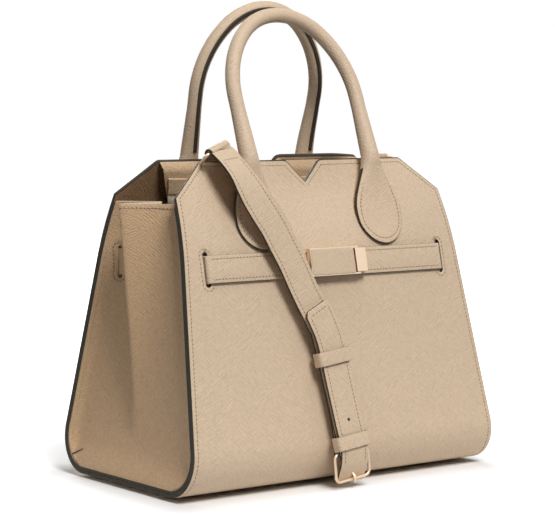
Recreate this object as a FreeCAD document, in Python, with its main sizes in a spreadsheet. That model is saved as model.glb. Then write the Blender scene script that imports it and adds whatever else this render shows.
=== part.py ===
import FreeCAD, Part
import Sketcher
import math
import os
from FreeCAD import Vector, Placement, Rotation, Matrix

os.makedirs("parts", exist_ok=True)

# Top handle bag of grained leather with painted edges. Millimetres, +Z up.
# The origin is on the floor under the middle of the base, the front faces -Y.
# Heights in the sheet are measured from the underside of the leather base.

doc = FreeCAD.newDocument("TopHandleBag")
sheet = doc.addObject("Spreadsheet::Sheet", "Sizes")

SIZES = [
    # leather wrap: front, base and back share one side profile
    ("base_width", 300.0),
    ("shoulder_width", 260.0),
    ("top_width", 198.0),
    ("shoulder_height", 222.0),
    ("top_height", 248.0),
    ("base_half_depth", 99.0),
    ("lean_angle", 12.4),
    ("bend_drop", 80.0),
    ("bend_radius", 250.0),
    ("base_radius", 30.0),
    ("panel_thick", 3.0),
    ("notch_half_width", 16.5),
    ("notch_depth", 14.5),
    ("base_seam_inset", 11.7),
    ("seam_gap", 0.1),
    # inside: facing, lining, board
    ("facing_thick", 1.2),
    ("facing_drop", 58.0),
    ("facing_inset", 13.0),
    ("lining_thick", 0.8),
    ("lining_inset", 12.0),
    ("board_thick", 2.0),
    ("board_inset", 13.0),
    ("board_side_inset", 7.7),
    ("lining_start_gap", 1.0),
    # metal feet
    ("foot_height", 3.0),
    ("foot_radius", 6.0),
    ("foot_shank_radius", 2.0),
    ("foot_hole_clear", 0.1),
    ("foot_inset_x", 32.0),
    ("foot_inset_y", 10.0),
    ("washer_thick", 1.0),
    # gussets: a flange sewn to the wrap and a pleated web
    ("gusset_thick", 1.8),
    ("flange_thick", 2.2),
    ("flange_width", 7.0),
    ("gusset_drop", 6.0),
    ("pleat_out", 27.0),
    ("pleat_in", 19.0),
    ("pleat_bottom", 50.0),
    ("crease_y", 14.0),
    ("ridge_y", 2.0),
    # inner pocket on the back wall
    ("pocket_side_inset", 7.0),
    ("pocket_trim_thick", 1.6),
    ("pocket_trim_drop", 28.0),
    ("pocket_depth", 120.0),
    ("pocket_gap", 5.0),
    # handles
    ("handle_inset", 39.0),
    ("handle_radius", 5.8),
    ("handle_root_radius", 7.4),
    ("handle_leg", 50.0),
    ("handle_taper", 40.0),
    ("handle_side_radius", 77.0),
    ("handle_core_radius", 3.8),
    ("handle_core_clear", 0.15),
    ("handle_standoff", 11.0),
    ("handle_front_apex", 3.0),
    ("handle_back_apex", 19.5),
    ("hinge_rise", 2.0),
    ("hinge_clear", 0.4),
    ("seam_width", 3.0),
    ("seam_proud", 1.6),
    # handle tabs sewn on the panels
    ("tab_width", 43.0),
    ("tab_length", 67.0),
    ("tab_thick", 3.4),
    ("tab_clear", 0.1),
    ("root_length", 48.0),
    ("root_low_radius", 3.4),
    ("root_top_gap", 5.6),
    # belt
    ("belt_width", 21.5),
    ("belt_thick", 2.4),
    ("belt_drop", 80.0),
    ("belt_clear", 0.35),
    ("slot_inset", 20.0),
    ("slot_width", 4.8),
    ("slot_length", 26.0),
    ("belt_rear_inset", 12.0),
    ("belt_left_end", 4.0),
    ("belt_right_end", 3.0),
    ("gusset_slot_clear", 1.0),
    # clasp
    ("clasp_left", 22.5),
    ("clasp_right", 20.6),
    ("clasp_pin_x", 24.6),
    ("clasp_bar_right", 32.2),
    ("clasp_half_height", 10.9),
    ("clasp_rail", 0.8),
    ("clasp_frame_thick", 4.2),
    ("clasp_recess", 2.3),
    ("clasp_lift_gap", 0.4),
    ("clasp_plate_thick", 0.7),
    ("clasp_barrel_radius", 2.8),
    ("clasp_pin_radius", 1.2),
    ("clasp_pin_clear", 0.06),
    ("clasp_ear", 1.2),
    ("clasp_ear_gap", 0.3),
    ("inlay_clear", 0.1),
    ("catch_radius", 1.5),
    ("catch_clear", 0.5),
    # shoulder strap
    ("strap_width", 26.0),
    ("strap_thick", 2.4),
    ("strap_tip_thick", 2.2),
    ("strap_back_gap", 2.2),
    ("strap_tip_gap", 2.1),
    ("strap_inner_drop", 120.0),
    ("loop_radius", 4.2),
    ("ring_wire_radius", 1.3),
    ("ring_inner_width", 29.0),
    ("ring_bar_clear", 0.4),
    ("ring_tab_width", 18.0),
    ("ring_tab_thick", 1.8),
    ("ring_tab_drop", 24.0),
    ("ring_tab_radius", 3.6),
    ("ring_tab_below", 9.0),
    ("ring_eye_inset", 10.6),
    ("ring_inset", 13.0),
    ("loop_rise", 11.5),
    ("loop_standoff", 8.85),
    # buckle and keepers
    ("buckle_height", 26.5),
    ("buckle_shift", 6.3),
    ("buckle_standoff", 9.5),
    ("buckle_half_width", 15.4),
    ("buckle_length", 22.0),
    ("buckle_wire_radius", 1.5),
    ("buckle_pivot_radius", 1.2),
    ("buckle_pivot_clear", 0.08),
    ("buckle_wrap_thick", 1.5),
    ("tongue_width", 2.8),
    ("tongue_thick", 1.6),
    ("tongue_slot_half", 2.2),
    ("tongue_rest_gap", 0.7),
    ("keeper_height", 11.0),
    ("keeper_wall", 1.4),
    ("keeper_clear", 0.3),
    ("keeper_side_clear", 0.4),
    ("keeper_free_at", 73.0),
    ("keeper_fixed_at", 9.5),
]

for row, (alias, value) in enumerate(SIZES, start=1):
    sheet.set("A%d" % row, alias)
    sheet.set("B%d" % row, str(value))
    sheet.setAlias("B%d" % row, alias)
doc.recompute()


def size(alias):
    """Value of one cell of the sheet."""
    return float(sheet.get(alias))


EX = Vector(1, 0, 0)
EY = Vector(0, 1, 0)
EZ = Vector(0, 0, 1)
FLOOR = size("foot_height")
LEAN = math.radians(size("lean_angle"))
PANEL = size("panel_thick")
nodes = []


def keep(obj, label):
    """Register a document object as a node of the assembly."""
    obj.Label = label
    nodes.append(obj)
    return obj


def feature(label, shape, placement=None):
    """A node whose shape is worked out here from the sheet's values."""
    obj = doc.addObject("Part::Feature", label)
    obj.Shape = shape
    if placement is not None:
        obj.Placement = placement
    return keep(obj, label)


# Side profile of the wrap. Heights zb are from the leather's underside,
# depth is measured inwards from the outer face.

BASE_TANGENT = size("base_radius") / math.tan((math.pi / 2 - LEAN) / 2)
BASE_FLAT = size("base_half_depth") - BASE_TANGENT
BEND_ZB = size("top_height") - size("bend_drop")
BELT_ZB = size("top_height") - size("belt_drop")
BEND_RADIUS = size("bend_radius")
BEND_Y = size("base_half_depth") - math.tan(LEAN) * BEND_ZB
BEND_CY = BEND_Y - BEND_RADIUS * math.cos(LEAN)
BEND_CZ = BEND_ZB - BEND_RADIUS * math.sin(LEAN)
BASE_SEAM = BASE_FLAT - size("base_seam_inset")


def wrap_y(zb, depth=0.0):
    """Half depth of the wrap at height zb, at a depth inside its outer face."""
    start = BEND_ZB - depth * math.sin(LEAN)
    corner = size("base_radius") + (size("base_radius") - depth) * math.sin(LEAN)
    if zb >= start:
        radius = BEND_RADIUS - depth
        return BEND_CY + math.sqrt(radius ** 2 - (zb - BEND_CZ) ** 2)
    if zb >= corner:
        return size("base_half_depth") - math.tan(LEAN) * zb - depth / math.cos(LEAN)
    radius = size("base_radius") - depth
    drop = min(radius, max(-radius, zb - size("base_radius")))
    return BASE_FLAT + math.sqrt(radius ** 2 - drop ** 2)


def half_width(zb):
    """Half width of the panels at height zb, below the shoulders."""
    slope = (size("shoulder_width") - size("base_width")) / 2 / size("shoulder_height")
    return size("base_width") / 2 + slope * zb


SLOT_X = half_width(BELT_ZB) - size("slot_inset")
BELT_REAR_X = half_width(BELT_ZB) - size("belt_rear_inset")


def chain(depth, side, top, base_y=None, low=None):
    """Edges of the profile at one depth, from under the base or from a height up to the top."""
    def at(y, zb):
        return Vector(0, side * y, FLOOR + zb)

    def bend_point(angle):
        radius = BEND_RADIUS - depth
        return at(BEND_CY + radius * math.cos(angle), BEND_CZ + radius * math.sin(angle))

    radius = size("base_radius") - depth
    edges = []
    bend_start = BEND_ZB - depth * math.sin(LEAN)
    corner_end = at(BASE_FLAT + radius * math.cos(LEAN), size("base_radius") + radius * math.sin(LEAN))
    if base_y is not None:
        flat_end = at(BASE_FLAT, depth)
        middle = (LEAN - math.pi / 2) / 2
        mid_up = size("base_radius") + radius * math.sin(middle)
        corner_mid = at(BASE_FLAT + radius * math.cos(middle), mid_up)
        edges.append(Part.LineSegment(at(base_y, depth), flat_end))
        edges.append(Part.Arc(flat_end, corner_mid, corner_end))
        edges.append(Part.LineSegment(corner_end, bend_point(LEAN)))
        low_angle = LEAN
    elif low < bend_start:
        edges.append(Part.LineSegment(at(wrap_y(low, depth), low), bend_point(LEAN)))
        low_angle = LEAN
    else:
        low_angle = math.asin((low - BEND_CZ) / (BEND_RADIUS - depth))
    top_angle = math.asin((top - BEND_CZ) / (BEND_RADIUS - depth))
    if top_angle > low_angle + 1e-6:
        middle = (low_angle + top_angle) / 2
        edges.append(Part.Arc(bend_point(low_angle), bend_point(middle), bend_point(top_angle)))
    else:
        edges[-1] = Part.LineSegment(edges[-1].StartPoint, at(wrap_y(top, depth), top))
    return edges


def band_edges(depth, thick, side, top, base_y=None, low=None):
    """Closed outline of a sheet between two depths of the profile."""
    outer = chain(depth, side, top, base_y, low)
    inner = chain(depth + thick, side, top, base_y, low)
    first = Part.LineSegment(inner[0].StartPoint, outer[0].StartPoint)
    last = Part.LineSegment(outer[-1].EndPoint, inner[-1].EndPoint)
    return [first] + outer + [last] + inner


def face_of(edges):
    """Flat face bounded by loose edges."""
    wire = Part.Wire(Part.__sortEdges__([edge.toShape() for edge in edges]))
    return Part.Face(wire)


def sheet_solid(depth, thick, side, top, half, base_y=None, low=None):
    """A sheet of leather or cloth that follows the profile, extruded across the bag."""
    face = face_of(band_edges(depth, thick, side, top, base_y, low))
    face.translate(EX * -half)
    return face.extrude(EX * (2 * half))


def front_prism(points):
    """Prism along Y over a front-view outline given as (x, zb) points."""
    reach = size("base_half_depth") * 2
    ring = [Vector(x, -reach, FLOOR + zb) for x, zb in points]
    wire = Part.makePolygon(ring + [ring[0]])
    return Part.Face(wire).extrude(EY * (2 * reach))


def origin_plane(body, role):
    """One of a body's own origin planes."""
    return [item for item in body.Origin.OriginFeatures if item.Role == role][0]


def sketch_on(body, name, role):
    """A sketch on one of the body's origin planes."""
    sketch = body.newObject("Sketcher::SketchObject", name)
    sketch.AttachmentSupport = [(origin_plane(body, role), "")]
    sketch.MapMode = "FlatFace"
    return sketch


def bound_polygon(sketch, points):
    """Closed polygon whose corners are held by expressions on the sheet."""
    start = sketch.GeometryCount
    count = len(points)

    def guess(number):
        angle = 2 * math.pi * number / count
        return Vector(20 * math.cos(angle), 20 * math.sin(angle), 0)

    for number in range(count):
        sketch.addGeometry(Part.LineSegment(guess(number), guess(number + 1)), False)
    for number in range(count):
        after = start + (number + 1) % count
        sketch.addConstraint(Sketcher.Constraint("Coincident", start + number, 2, after, 1))
    for number, (across, up) in enumerate(points):
        spot = guess(number)
        index = sketch.addConstraint(Sketcher.Constraint("DistanceX", -1, 1, start + number, 1, spot.x))
        sketch.setExpression("Constraints[%d]" % index, across)
        index = sketch.addConstraint(Sketcher.Constraint("DistanceY", -1, 1, start + number, 1, spot.y))
        sketch.setExpression("Constraints[%d]" % index, up)


def pad_body(label, role, points, length, placement=None):
    """A body made of one padded polygon, symmetric about its sketch plane."""
    body = doc.addObject("PartDesign::Body", label)
    sketch = sketch_on(body, label + "_sketch", role)
    bound_polygon(sketch, points)
    pad = body.newObject("PartDesign::Pad", label + "_pad")
    pad.Profile = sketch
    pad.Midplane = True
    pad.setExpression("Length", length)
    if placement is not None:
        body.Placement = placement
    return body


def pocket_all(body, sketch, name):
    """Cut right through the body on both sides of the sketch."""
    pocket = body.newObject("PartDesign::Pocket", name)
    pocket.Profile = sketch
    pocket.Type = "ThroughAll"
    pocket.Midplane = True
    return pocket


# Front and back panels of the wrap

LEVEL = "Sizes.foot_height + "
OUTLINE = [
    ("-Sizes.base_width / 2", "Sizes.foot_height"),
    ("-Sizes.shoulder_width / 2", LEVEL + "Sizes.shoulder_height"),
    ("-Sizes.top_width / 2", LEVEL + "Sizes.top_height"),
    ("-Sizes.notch_half_width", LEVEL + "Sizes.top_height"),
    ("0", LEVEL + "Sizes.top_height - Sizes.notch_depth"),
    ("Sizes.notch_half_width", LEVEL + "Sizes.top_height"),
    ("Sizes.top_width / 2", LEVEL + "Sizes.top_height"),
    ("Sizes.shoulder_width / 2", LEVEL + "Sizes.shoulder_height"),
    ("Sizes.base_width / 2", "Sizes.foot_height"),
]
AROUND = [
    ("-Sizes.base_width", "-Sizes.base_radius"),
    ("-Sizes.base_width", LEVEL + "Sizes.top_height + Sizes.base_radius"),
    ("Sizes.base_width", LEVEL + "Sizes.top_height + Sizes.base_radius"),
    ("Sizes.base_width", "-Sizes.base_radius"),
]
BELOW = [
    ("Sizes.base_width / 2", "-Sizes.base_radius / 2"),
    ("-Sizes.base_width / 2", "-Sizes.base_radius / 2"),
]


def slot_outline(centre_x):
    """Round-ended upright slot in front view for the belt."""
    half = size("slot_width") / 2
    middle = FLOOR + BELT_ZB
    reach = size("slot_length") / 2 - half

    def at(x, y):
        return Vector(centre_x + x, middle + y, 0)

    return [
        Part.LineSegment(at(-half, -reach), at(-half, reach)),
        Part.Arc(at(-half, reach), at(0, reach + half), at(half, reach)),
        Part.LineSegment(at(half, reach), at(half, -reach)),
        Part.Arc(at(half, -reach), at(0, -reach - half), at(-half, -reach)),
    ]


def panel(label, side, slots):
    """Front or back of the wrap: it runs from the seam under the base up to the top edge."""
    body = doc.addObject("PartDesign::Body", label)
    profile = sketch_on(body, label + "_profile", "YZ_Plane")
    for edge in band_edges(0.0, PANEL, side, size("top_height"), base_y=BASE_SEAM):
        flat = edge.copy()
        flat.transform(Matrix(0, 1, 0, 0, 0, 0, 1, 0, 1, 0, 0, 0, 0, 0, 0, 1))
        profile.addGeometry(flat, False)
    pad = body.newObject("PartDesign::Pad", label + "_pad")
    pad.Profile = profile
    pad.Midplane = True
    pad.setExpression("Length", "Sizes.base_width")
    trim = sketch_on(body, label + "_trim", "XZ_Plane")
    bound_polygon(trim, OUTLINE + BELOW)
    bound_polygon(trim, AROUND)
    doc.recompute()
    before = body.Shape.Volume
    pocket_all(body, trim, label + "_outline")
    doc.recompute()
    if slots:
        slot_sketch = sketch_on(body, label + "_slots", "XZ_Plane")
        for sign in (-1, 1):
            for edge in slot_outline(sign * SLOT_X):
                slot_sketch.addGeometry(edge, False)
        pocket_all(body, slot_sketch, label + "_belt_slots")
        doc.recompute()
    if body.Shape.Volume >= before:
        raise RuntimeError(label + " was not trimmed")
    return keep(body, label)


front_panel = panel("front_panel", -1, True)
back_panel = panel("back_panel", 1, False)


# Base: leather panel, board, lining, feet and washers

FOOT_X = size("base_width") / 2 - size("foot_inset_x")
FOOT_Y = BASE_SEAM - size("foot_inset_y")
FEET = [(0.0, 0.0), (FOOT_X, FOOT_Y), (FOOT_X, -FOOT_Y), (-FOOT_X, FOOT_Y), (-FOOT_X, -FOOT_Y)]


def foot_holes(body, label):
    """Clearance holes for the feet's shanks."""
    doc.recompute()
    before = body.Shape.Volume
    sketch = sketch_on(body, label + "_holes", "XY_Plane")
    radius = size("foot_shank_radius") + size("foot_hole_clear")
    for number, (x, y) in enumerate(FEET):
        sketch.addGeometry(Part.Circle(Vector(x, y, 0), EZ, radius), False)
        index = sketch.addConstraint(Sketcher.Constraint("Radius", number, radius))
        sketch.setExpression("Constraints[%d]" % index, "Sizes.foot_shank_radius + Sizes.foot_hole_clear")
    pocket_all(body, sketch, label + "_shank_holes")
    doc.recompute()
    if body.Shape.Volume >= before:
        raise RuntimeError(label + " has no holes")


def slab(label, half_x, half_y, low, high, holes):
    """Flat rectangular sheet of the base, given by its own expressions."""
    points = [
        ("-(" + half_y + ")", low),
        ("-(" + half_y + ")", high),
        (half_y, high),
        (half_y, low),
    ]
    body = pad_body(label, "YZ_Plane", points, "2 * (" + half_x + ")")
    if holes:
        foot_holes(body, label)
    return keep(body, label)


BOARD_LOW = "Sizes.foot_height + Sizes.panel_thick + Sizes.seam_gap"
BOARD_HIGH = BOARD_LOW + " + Sizes.board_thick"
WASHER_HIGH = BOARD_HIGH + " + Sizes.seam_gap + Sizes.washer_thick"
LINING_LOW = WASHER_HIGH + " + Sizes.seam_gap"
BOARD_HALF = "Sizes.base_width / 2 - Sizes.board_inset"

FLAT_HALF = "Sizes.base_half_depth - Sizes.base_radius / tan(45 deg - Sizes.lean_angle * 0.5 deg)"
BOARD_SIDE = FLAT_HALF + " - Sizes.board_side_inset"

SEAM_HALF = FLAT_HALF + " - Sizes.base_seam_inset - Sizes.seam_gap"

base_panel = slab("base_panel", "Sizes.base_width / 2", SEAM_HALF,
                  "Sizes.foot_height", "Sizes.foot_height + Sizes.panel_thick", True)
base_board = slab("base_board", BOARD_HALF, BOARD_SIDE, BOARD_LOW, BOARD_HIGH, True)
base_lining = slab("base_lining", BOARD_HALF, BOARD_SIDE,
                   LINING_LOW, LINING_LOW + " + Sizes.lining_thick", False)

WASHER_Z = FLOOR + PANEL + size("board_thick") + 2 * size("seam_gap")


def foot(x, y):
    """Low domed stud with a shank through the base."""
    radius = size("foot_radius")
    height = size("foot_height")
    crown = radius / 2
    shank = size("foot_shank_radius")
    top = WASHER_Z + size("washer_thick")
    points = [
        Vector(0, 0, 0),
        Vector(crown, 0, 0),
        Vector(radius, 0, height * 0.55),
        Vector(radius, 0, height - size("seam_gap")),
        Vector(shank, 0, height - size("seam_gap")),
        Vector(shank, 0, top),
        Vector(0, 0, top),
    ]
    ring = Part.Face(Part.makePolygon(points + [points[0]]))
    solid = ring.revolve(Vector(), EZ, 360)
    solid.translate(Vector(x, y, 0))
    return solid


def washer(x, y):
    """Disc that holds a foot's shank on the board."""
    spot = Vector(x, y, WASHER_Z)
    disc = Part.makeCylinder(size("foot_radius"), size("washer_thick"), spot)
    bore = size("foot_shank_radius") + size("foot_hole_clear")
    return disc.cut(Part.makeCylinder(bore, size("washer_thick"), spot))


feature("base_feet", Part.makeCompound([foot(x, y) for x, y in FEET]))
feature("foot_washers", Part.makeCompound([washer(x, y) for x, y in FEET]))


# Facings and linings of the front and back walls

INNER = PANEL + size("seam_gap")
FACING_LOW = size("top_height") - size("facing_drop")


def chamfer_height(x):
    """Height of the slanted shoulder edge at a distance x from the middle."""
    run = (size("shoulder_width") - size("top_width")) / 2
    share = (x - size("top_width") / 2) / run
    return size("top_height") - share * (size("top_height") - size("shoulder_height"))


def facing_outline():
    """Facing in front view: it follows the top edge and stops short of the gussets."""
    side = size("shoulder_width") / 2 - size("facing_inset")
    top = size("top_height")
    right = [
        (size("notch_half_width"), top),
        (size("top_width") / 2, top),
        (side, chamfer_height(side)),
        (side, FACING_LOW),
    ]
    left = [(-x, zb) for x, zb in reversed(right)]
    return right + left + [(0.0, top - size("notch_depth"))]


def lining_outline():
    """Lining in front view: a trapezium inside the gusset flanges."""
    inset = size("lining_inset")
    top = FACING_LOW - size("seam_gap")
    low = 0.0
    return [
        (half_width(low) - inset, low),
        (half_width(top) - inset, top),
        (-half_width(top) + inset, top),
        (-half_width(low) + inset, low),
    ]


def belt_gate(sign, grow):
    """Box round the belt where it passes a front sheet."""
    half = size("slot_width") / 2 + grow
    reach = size("slot_length") / 2 + grow
    middle = BELT_ZB
    centre = sign * SLOT_X
    return front_prism([
        (centre - half, middle - reach),
        (centre + half, middle - reach),
        (centre + half, middle + reach),
        (centre - half, middle + reach),
    ])


def wall_sheet(label, thick, side, outline, top, base_y=None, low=None, gates=False):
    """Sheet on the inner face of a panel, cut to a front-view outline."""
    reach = size("base_width") / 2
    solid = sheet_solid(INNER, thick, side, top, reach, base_y, low).common(front_prism(outline))
    if gates:
        for sign in (-1, 1):
            solid = solid.cut(belt_gate(sign, size("gusset_slot_clear")))
    return feature(label, solid)


LINING_START = BASE_FLAT - size("board_side_inset") + size("lining_start_gap")
LINING_TOP = FACING_LOW - size("seam_gap")
for wall, side in (("front", -1), ("back", 1)):
    wall_sheet(wall + "_facing", size("facing_thick"), side, facing_outline(),
               size("top_height"), low=FACING_LOW)
    wall_sheet(wall + "_lining", size("lining_thick"), side, lining_outline(), LINING_TOP,
               base_y=LINING_START, gates=wall == "front")


# Inner pocket that hangs along the back wall

POCKET_DEPTH = INNER + size("facing_thick") + size("pocket_gap")
POCKET_TOP = size("top_height") - size("seam_gap")


TRIM_LOW = POCKET_TOP - size("pocket_trim_drop")
POCKET_HALF = size("top_width") / 2 - size("pocket_side_inset")
WALL_DEPTH = INNER + size("facing_thick") + size("seam_gap")


def pocket_panel():
    """Cloth front with narrow sides and bottom that reach back to the wall."""
    reach = POCKET_HALF
    thick = size("lining_thick")
    low = POCKET_TOP - size("pocket_depth")
    high = TRIM_LOW - size("seam_gap")
    solid = sheet_solid(POCKET_DEPTH, thick, 1, high, reach, low=low)
    back = POCKET_DEPTH - WALL_DEPTH + thick / 2
    solid = solid.fuse(sheet_solid(WALL_DEPTH, back, 1, low + thick, reach, low=low))
    for sign in (-1, 1):
        wall = sheet_solid(WALL_DEPTH, back, 1, high, thick / 2, low=low)
        wall.translate(EX * (sign * (reach - thick / 2)))
        solid = solid.fuse(wall)
    return solid.removeSplitter()


feature("inner_pocket_panel", pocket_panel())
pocket_trim = sheet_solid(POCKET_DEPTH, size("pocket_trim_thick"), 1, POCKET_TOP - size("notch_depth"),
                          POCKET_HALF, low=TRIM_LOW)
feature("inner_pocket_trim", pocket_trim)


# Gussets

GUSSET_TOP = size("shoulder_height") - size("gusset_drop")


def offset_line(points, shift):
    """Plan polyline moved sideways by a distance, with mitred corners."""
    normals = []
    for start, end in zip(points[:-1], points[1:]):
        step = (end - start).normalize()
        normals.append(Vector(-step.y, step.x, 0))
    moved = []
    for number, point in enumerate(points):
        before = normals[max(number - 1, 0)]
        after = normals[min(number, len(normals) - 1)]
        mitre = (before + after).normalize()
        moved.append(point + mitre * (shift / mitre.dot(before)))
    return moved


def web_line(zb):
    """Plan of the left web at one height: back edge, inner crease, outer ridge, front edge."""
    level = FLOOR + zb
    share = max(0.0, (zb - size("pleat_bottom")) / (GUSSET_TOP - size("pleat_bottom")))
    edge = -half_width(zb) + size("flange_width")
    reach = wrap_y(zb, INNER) + size("flange_thick")
    fold = max(share, 0.02)
    return [
        Vector(edge, reach, level),
        Vector(edge + size("pleat_in") * fold, size("crease_y"), level),
        Vector(edge - size("pleat_out") * fold, size("ridge_y"), level),
        Vector(edge, -reach, level),
    ]


def web_solid(levels, inside, thick):
    """Pleated sheet lofted through plans at several heights."""
    wires = []
    for zb in levels:
        line = web_line(zb)
        outer = offset_line(line, inside)
        inner = offset_line(line, inside + thick)
        ring = outer + inner[::-1]
        wires.append(Part.makePolygon(ring + [ring[0]]))
    return Part.makeLoft(wires, True, True)


def u_face(depth, top):
    """Side-view area enclosed by the profile at one depth, up to a level top."""
    front = chain(depth, -1, top, base_y=0.0)
    back = chain(depth, 1, top, base_y=0.0)
    lid = Part.LineSegment(front[-1].EndPoint, back[-1].EndPoint)
    return face_of(front + back + [lid])


def u_prism(depth, top):
    """Prism across the bag over the area inside one depth."""
    reach = size("base_width")
    face = u_face(depth, top)
    face.translate(EX * -reach)
    return face.extrude(EX * (2 * reach))


def belt_side_frame():
    """Ends of the belt's run through the bag: from the front slot back to the rear wall."""
    zb = BELT_ZB
    start = Vector(-SLOT_X, -wrap_y(zb), FLOOR + zb)
    rear_y = wrap_y(zb + size("belt_width") / 2, INNER + size("flange_thick")) - size("belt_clear")
    end = Vector(-BELT_REAR_X, rear_y, FLOOR + zb)
    return start, end


def belt_side_gate():
    """Slot through the pleat for the belt's run."""
    start, end = belt_side_frame()
    start = start + (end - start) * 0.15
    across = (end - start).normalize()
    end = end + across * size("gusset_slot_clear")
    side = Vector(across.y, -across.x, 0)
    half = size("belt_thick") / 2 + size("gusset_slot_clear")
    reach = size("belt_width") / 2 + size("gusset_slot_clear")
    ring = [start + side * half, end + side * half, end - side * half, start - side * half]
    ring = [point - EZ * reach for point in ring]
    return Part.Face(Part.makePolygon(ring + [ring[0]])).extrude(EZ * (2 * reach))


def gusset_levels(low):
    """Heights of the lofted plans."""
    top = GUSSET_TOP
    bottom = size("pleat_bottom")
    return [low, bottom] + [bottom + (top - bottom) * step / 4 for step in (1, 2, 3, 4)]


def gusset():
    """Left gusset: flange round the whole side seam and the pleated web."""
    top = GUSSET_TOP
    tall = top + size("flange_thick")
    flange = u_prism(INNER, top).cut(u_prism(INNER + size("flange_thick"), tall))
    width = size("flange_width") + size("gusset_thick")
    flange = flange.common(front_prism([
        (-half_width(0.0), 0.0),
        (-half_width(0.0) + width, 0.0),
        (-half_width(tall) + width, tall),
        (-half_width(tall), tall),
    ]))
    web = web_solid(gusset_levels(INNER), -size("gusset_thick") / 2, size("gusset_thick"))
    web = web.common(u_prism(INNER, top))
    return flange.fuse(web).removeSplitter().cut(belt_side_gate())


def gusset_lining():
    """Thin lining on the inner side of the left web."""
    low = INNER + size("board_thick") + size("washer_thick") + size("lining_thick") + 3 * size("seam_gap")
    inside = size("gusset_thick") / 2 + size("seam_gap")
    web = web_solid(gusset_levels(low), inside, size("lining_thick"))
    inner = u_prism(INNER + size("flange_thick") + size("seam_gap"), GUSSET_TOP)
    return web.common(inner).cut(belt_side_gate())


left_web = gusset()
left_lining = gusset_lining()
feature("left_gusset", left_web)
feature("right_gusset", left_web.mirror(Vector(), EX))
feature("left_gusset_lining", left_lining)
feature("right_gusset_lining", left_lining.mirror(Vector(), EX))


# Handles: a tapered arch of rolled leather over a cord, in its own leaning plane

HINGE_Z = size("top_height") + size("hinge_rise")
HINGE_Y = wrap_y(size("top_height")) + size("handle_standoff")
LEG = size("top_width") / 2 - size("handle_inset")


SIDE_INSET = size("handle_side_radius") - LEG
SIDE_TURN = math.radians(45)
CROWN_RADIUS = size("handle_side_radius") - SIDE_INSET / math.cos(SIDE_TURN)
CROWN_UP = size("handle_leg") + SIDE_INSET * math.tan(SIDE_TURN) + CROWN_RADIUS


def handle_place(side):
    """Hinge line and lean of the front (-1) or back (1) handle; the lean sets where the arch's top is."""
    reach = size("handle_front_apex") if side < 0 else -size("handle_back_apex")
    lean = math.degrees(math.asin((HINGE_Y + reach) / CROWN_UP))
    return Placement(Vector(0, side * HINGE_Y, FLOOR + HINGE_Z), Rotation(EX, side * lean))


def arch_wire(low, lift=0.0):
    """Three-centred arch in the handle's plane, from one leg to the other."""
    side_radius = size("handle_side_radius")
    leg = size("handle_leg")

    def spot(x, up):
        return Vector(x, lift, up)

    def side_point(angle):
        return spot(-SIDE_INSET + side_radius * math.cos(angle), leg + side_radius * math.sin(angle))

    right = [spot(LEG, low), spot(LEG, leg), side_point(SIDE_TURN / 2), side_point(SIDE_TURN)]
    left = [Vector(-point.x, point.y, point.z) for point in right]
    edges = [
        Part.LineSegment(right[0], right[1]),
        Part.Arc(right[1], right[2], right[3]),
        Part.Arc(right[3], spot(0, CROWN_UP), left[3]),
        Part.Arc(left[3], left[2], left[1]),
        Part.LineSegment(left[1], left[0]),
    ]
    return Part.Wire([edge.toShape() for edge in edges])


def arch_pipe(radius, low):
    """Round tube along the arch."""
    ring = Part.Wire(Part.makeCircle(radius, Vector(LEG, 0, low), EZ))
    return arch_wire(low).makePipeShell([ring], True, False)


def handle_cover():
    """Rolled leather: tapered legs with round ends, hollow for the cord."""
    taper = size("handle_taper")
    root = size("handle_root_radius")
    solid = arch_pipe(size("handle_radius"), taper)
    for sign in (-1, 1):
        foot_point = Vector(sign * LEG, 0, 0)
        leg = Part.makeCone(root, size("handle_radius"), taper, foot_point, EZ)
        ball = Part.makeSphere(root, foot_point)
        solid = solid.fuse(leg.fuse(ball))
    bore = arch_pipe(size("handle_core_radius") + size("handle_core_clear"), size("handle_core_clear"))
    return solid.removeSplitter().cut(bore)


def handle_core():
    """Cord inside the rolled leather."""
    return arch_pipe(size("handle_core_radius"), 2 * size("handle_core_clear"))


def handle_seam(side):
    """Painted seam along the arch, on the side that faces the other handle."""
    low = size("handle_taper")
    base = size("handle_radius") + size("seam_gap")
    half = size("seam_width") / 2
    inward = -side
    ring = [
        Vector(LEG - half, inward * base, low),
        Vector(LEG + half, inward * base, low),
        Vector(LEG + half, inward * (base + size("seam_proud")), low),
        Vector(LEG - half, inward * (base + size("seam_proud")), low),
    ]
    section = Part.makePolygon(ring + [ring[0]])
    return arch_wire(low, inward * base).makePipeShell([section], True, False)


for wall, side in (("front", -1), ("back", 1)):
    feature(wall + "_handle", handle_cover(), handle_place(side))
    feature(wall + "_handle_core", handle_core(), handle_place(side))
    feature(wall + "_handle_seam", handle_seam(side), handle_place(side))


TAB_LOW = size("top_height") - size("tab_length")


# Handle tabs: rounded paddles sewn to the panels, with a swelling that meets the leg

def tab_outline(centre):
    """Paddle in front view: half round below, drawn in towards the leg above."""
    half = size("tab_width") / 2
    low = FLOOR + TAB_LOW + half
    neck = size("handle_root_radius") + size("tab_thick")
    top = FLOOR + size("top_height") - size("seam_gap")
    waist = low + (top - low) * 0.35

    def at(x, z):
        return Vector(centre + x, -size("base_half_depth"), z)

    edges = [
        Part.LineSegment(at(neck, top), at(half, waist)),
        Part.LineSegment(at(half, waist), at(half, low)),
        Part.Arc(at(half, low), at(0, low - half), at(-half, low)),
        Part.LineSegment(at(-half, low), at(-half, waist)),
        Part.LineSegment(at(-half, waist), at(-neck, top)),
        Part.LineSegment(at(-neck, top), at(neck, top)),
    ]
    return face_of(edges).extrude(EY * (2 * size("base_half_depth")))


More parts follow.
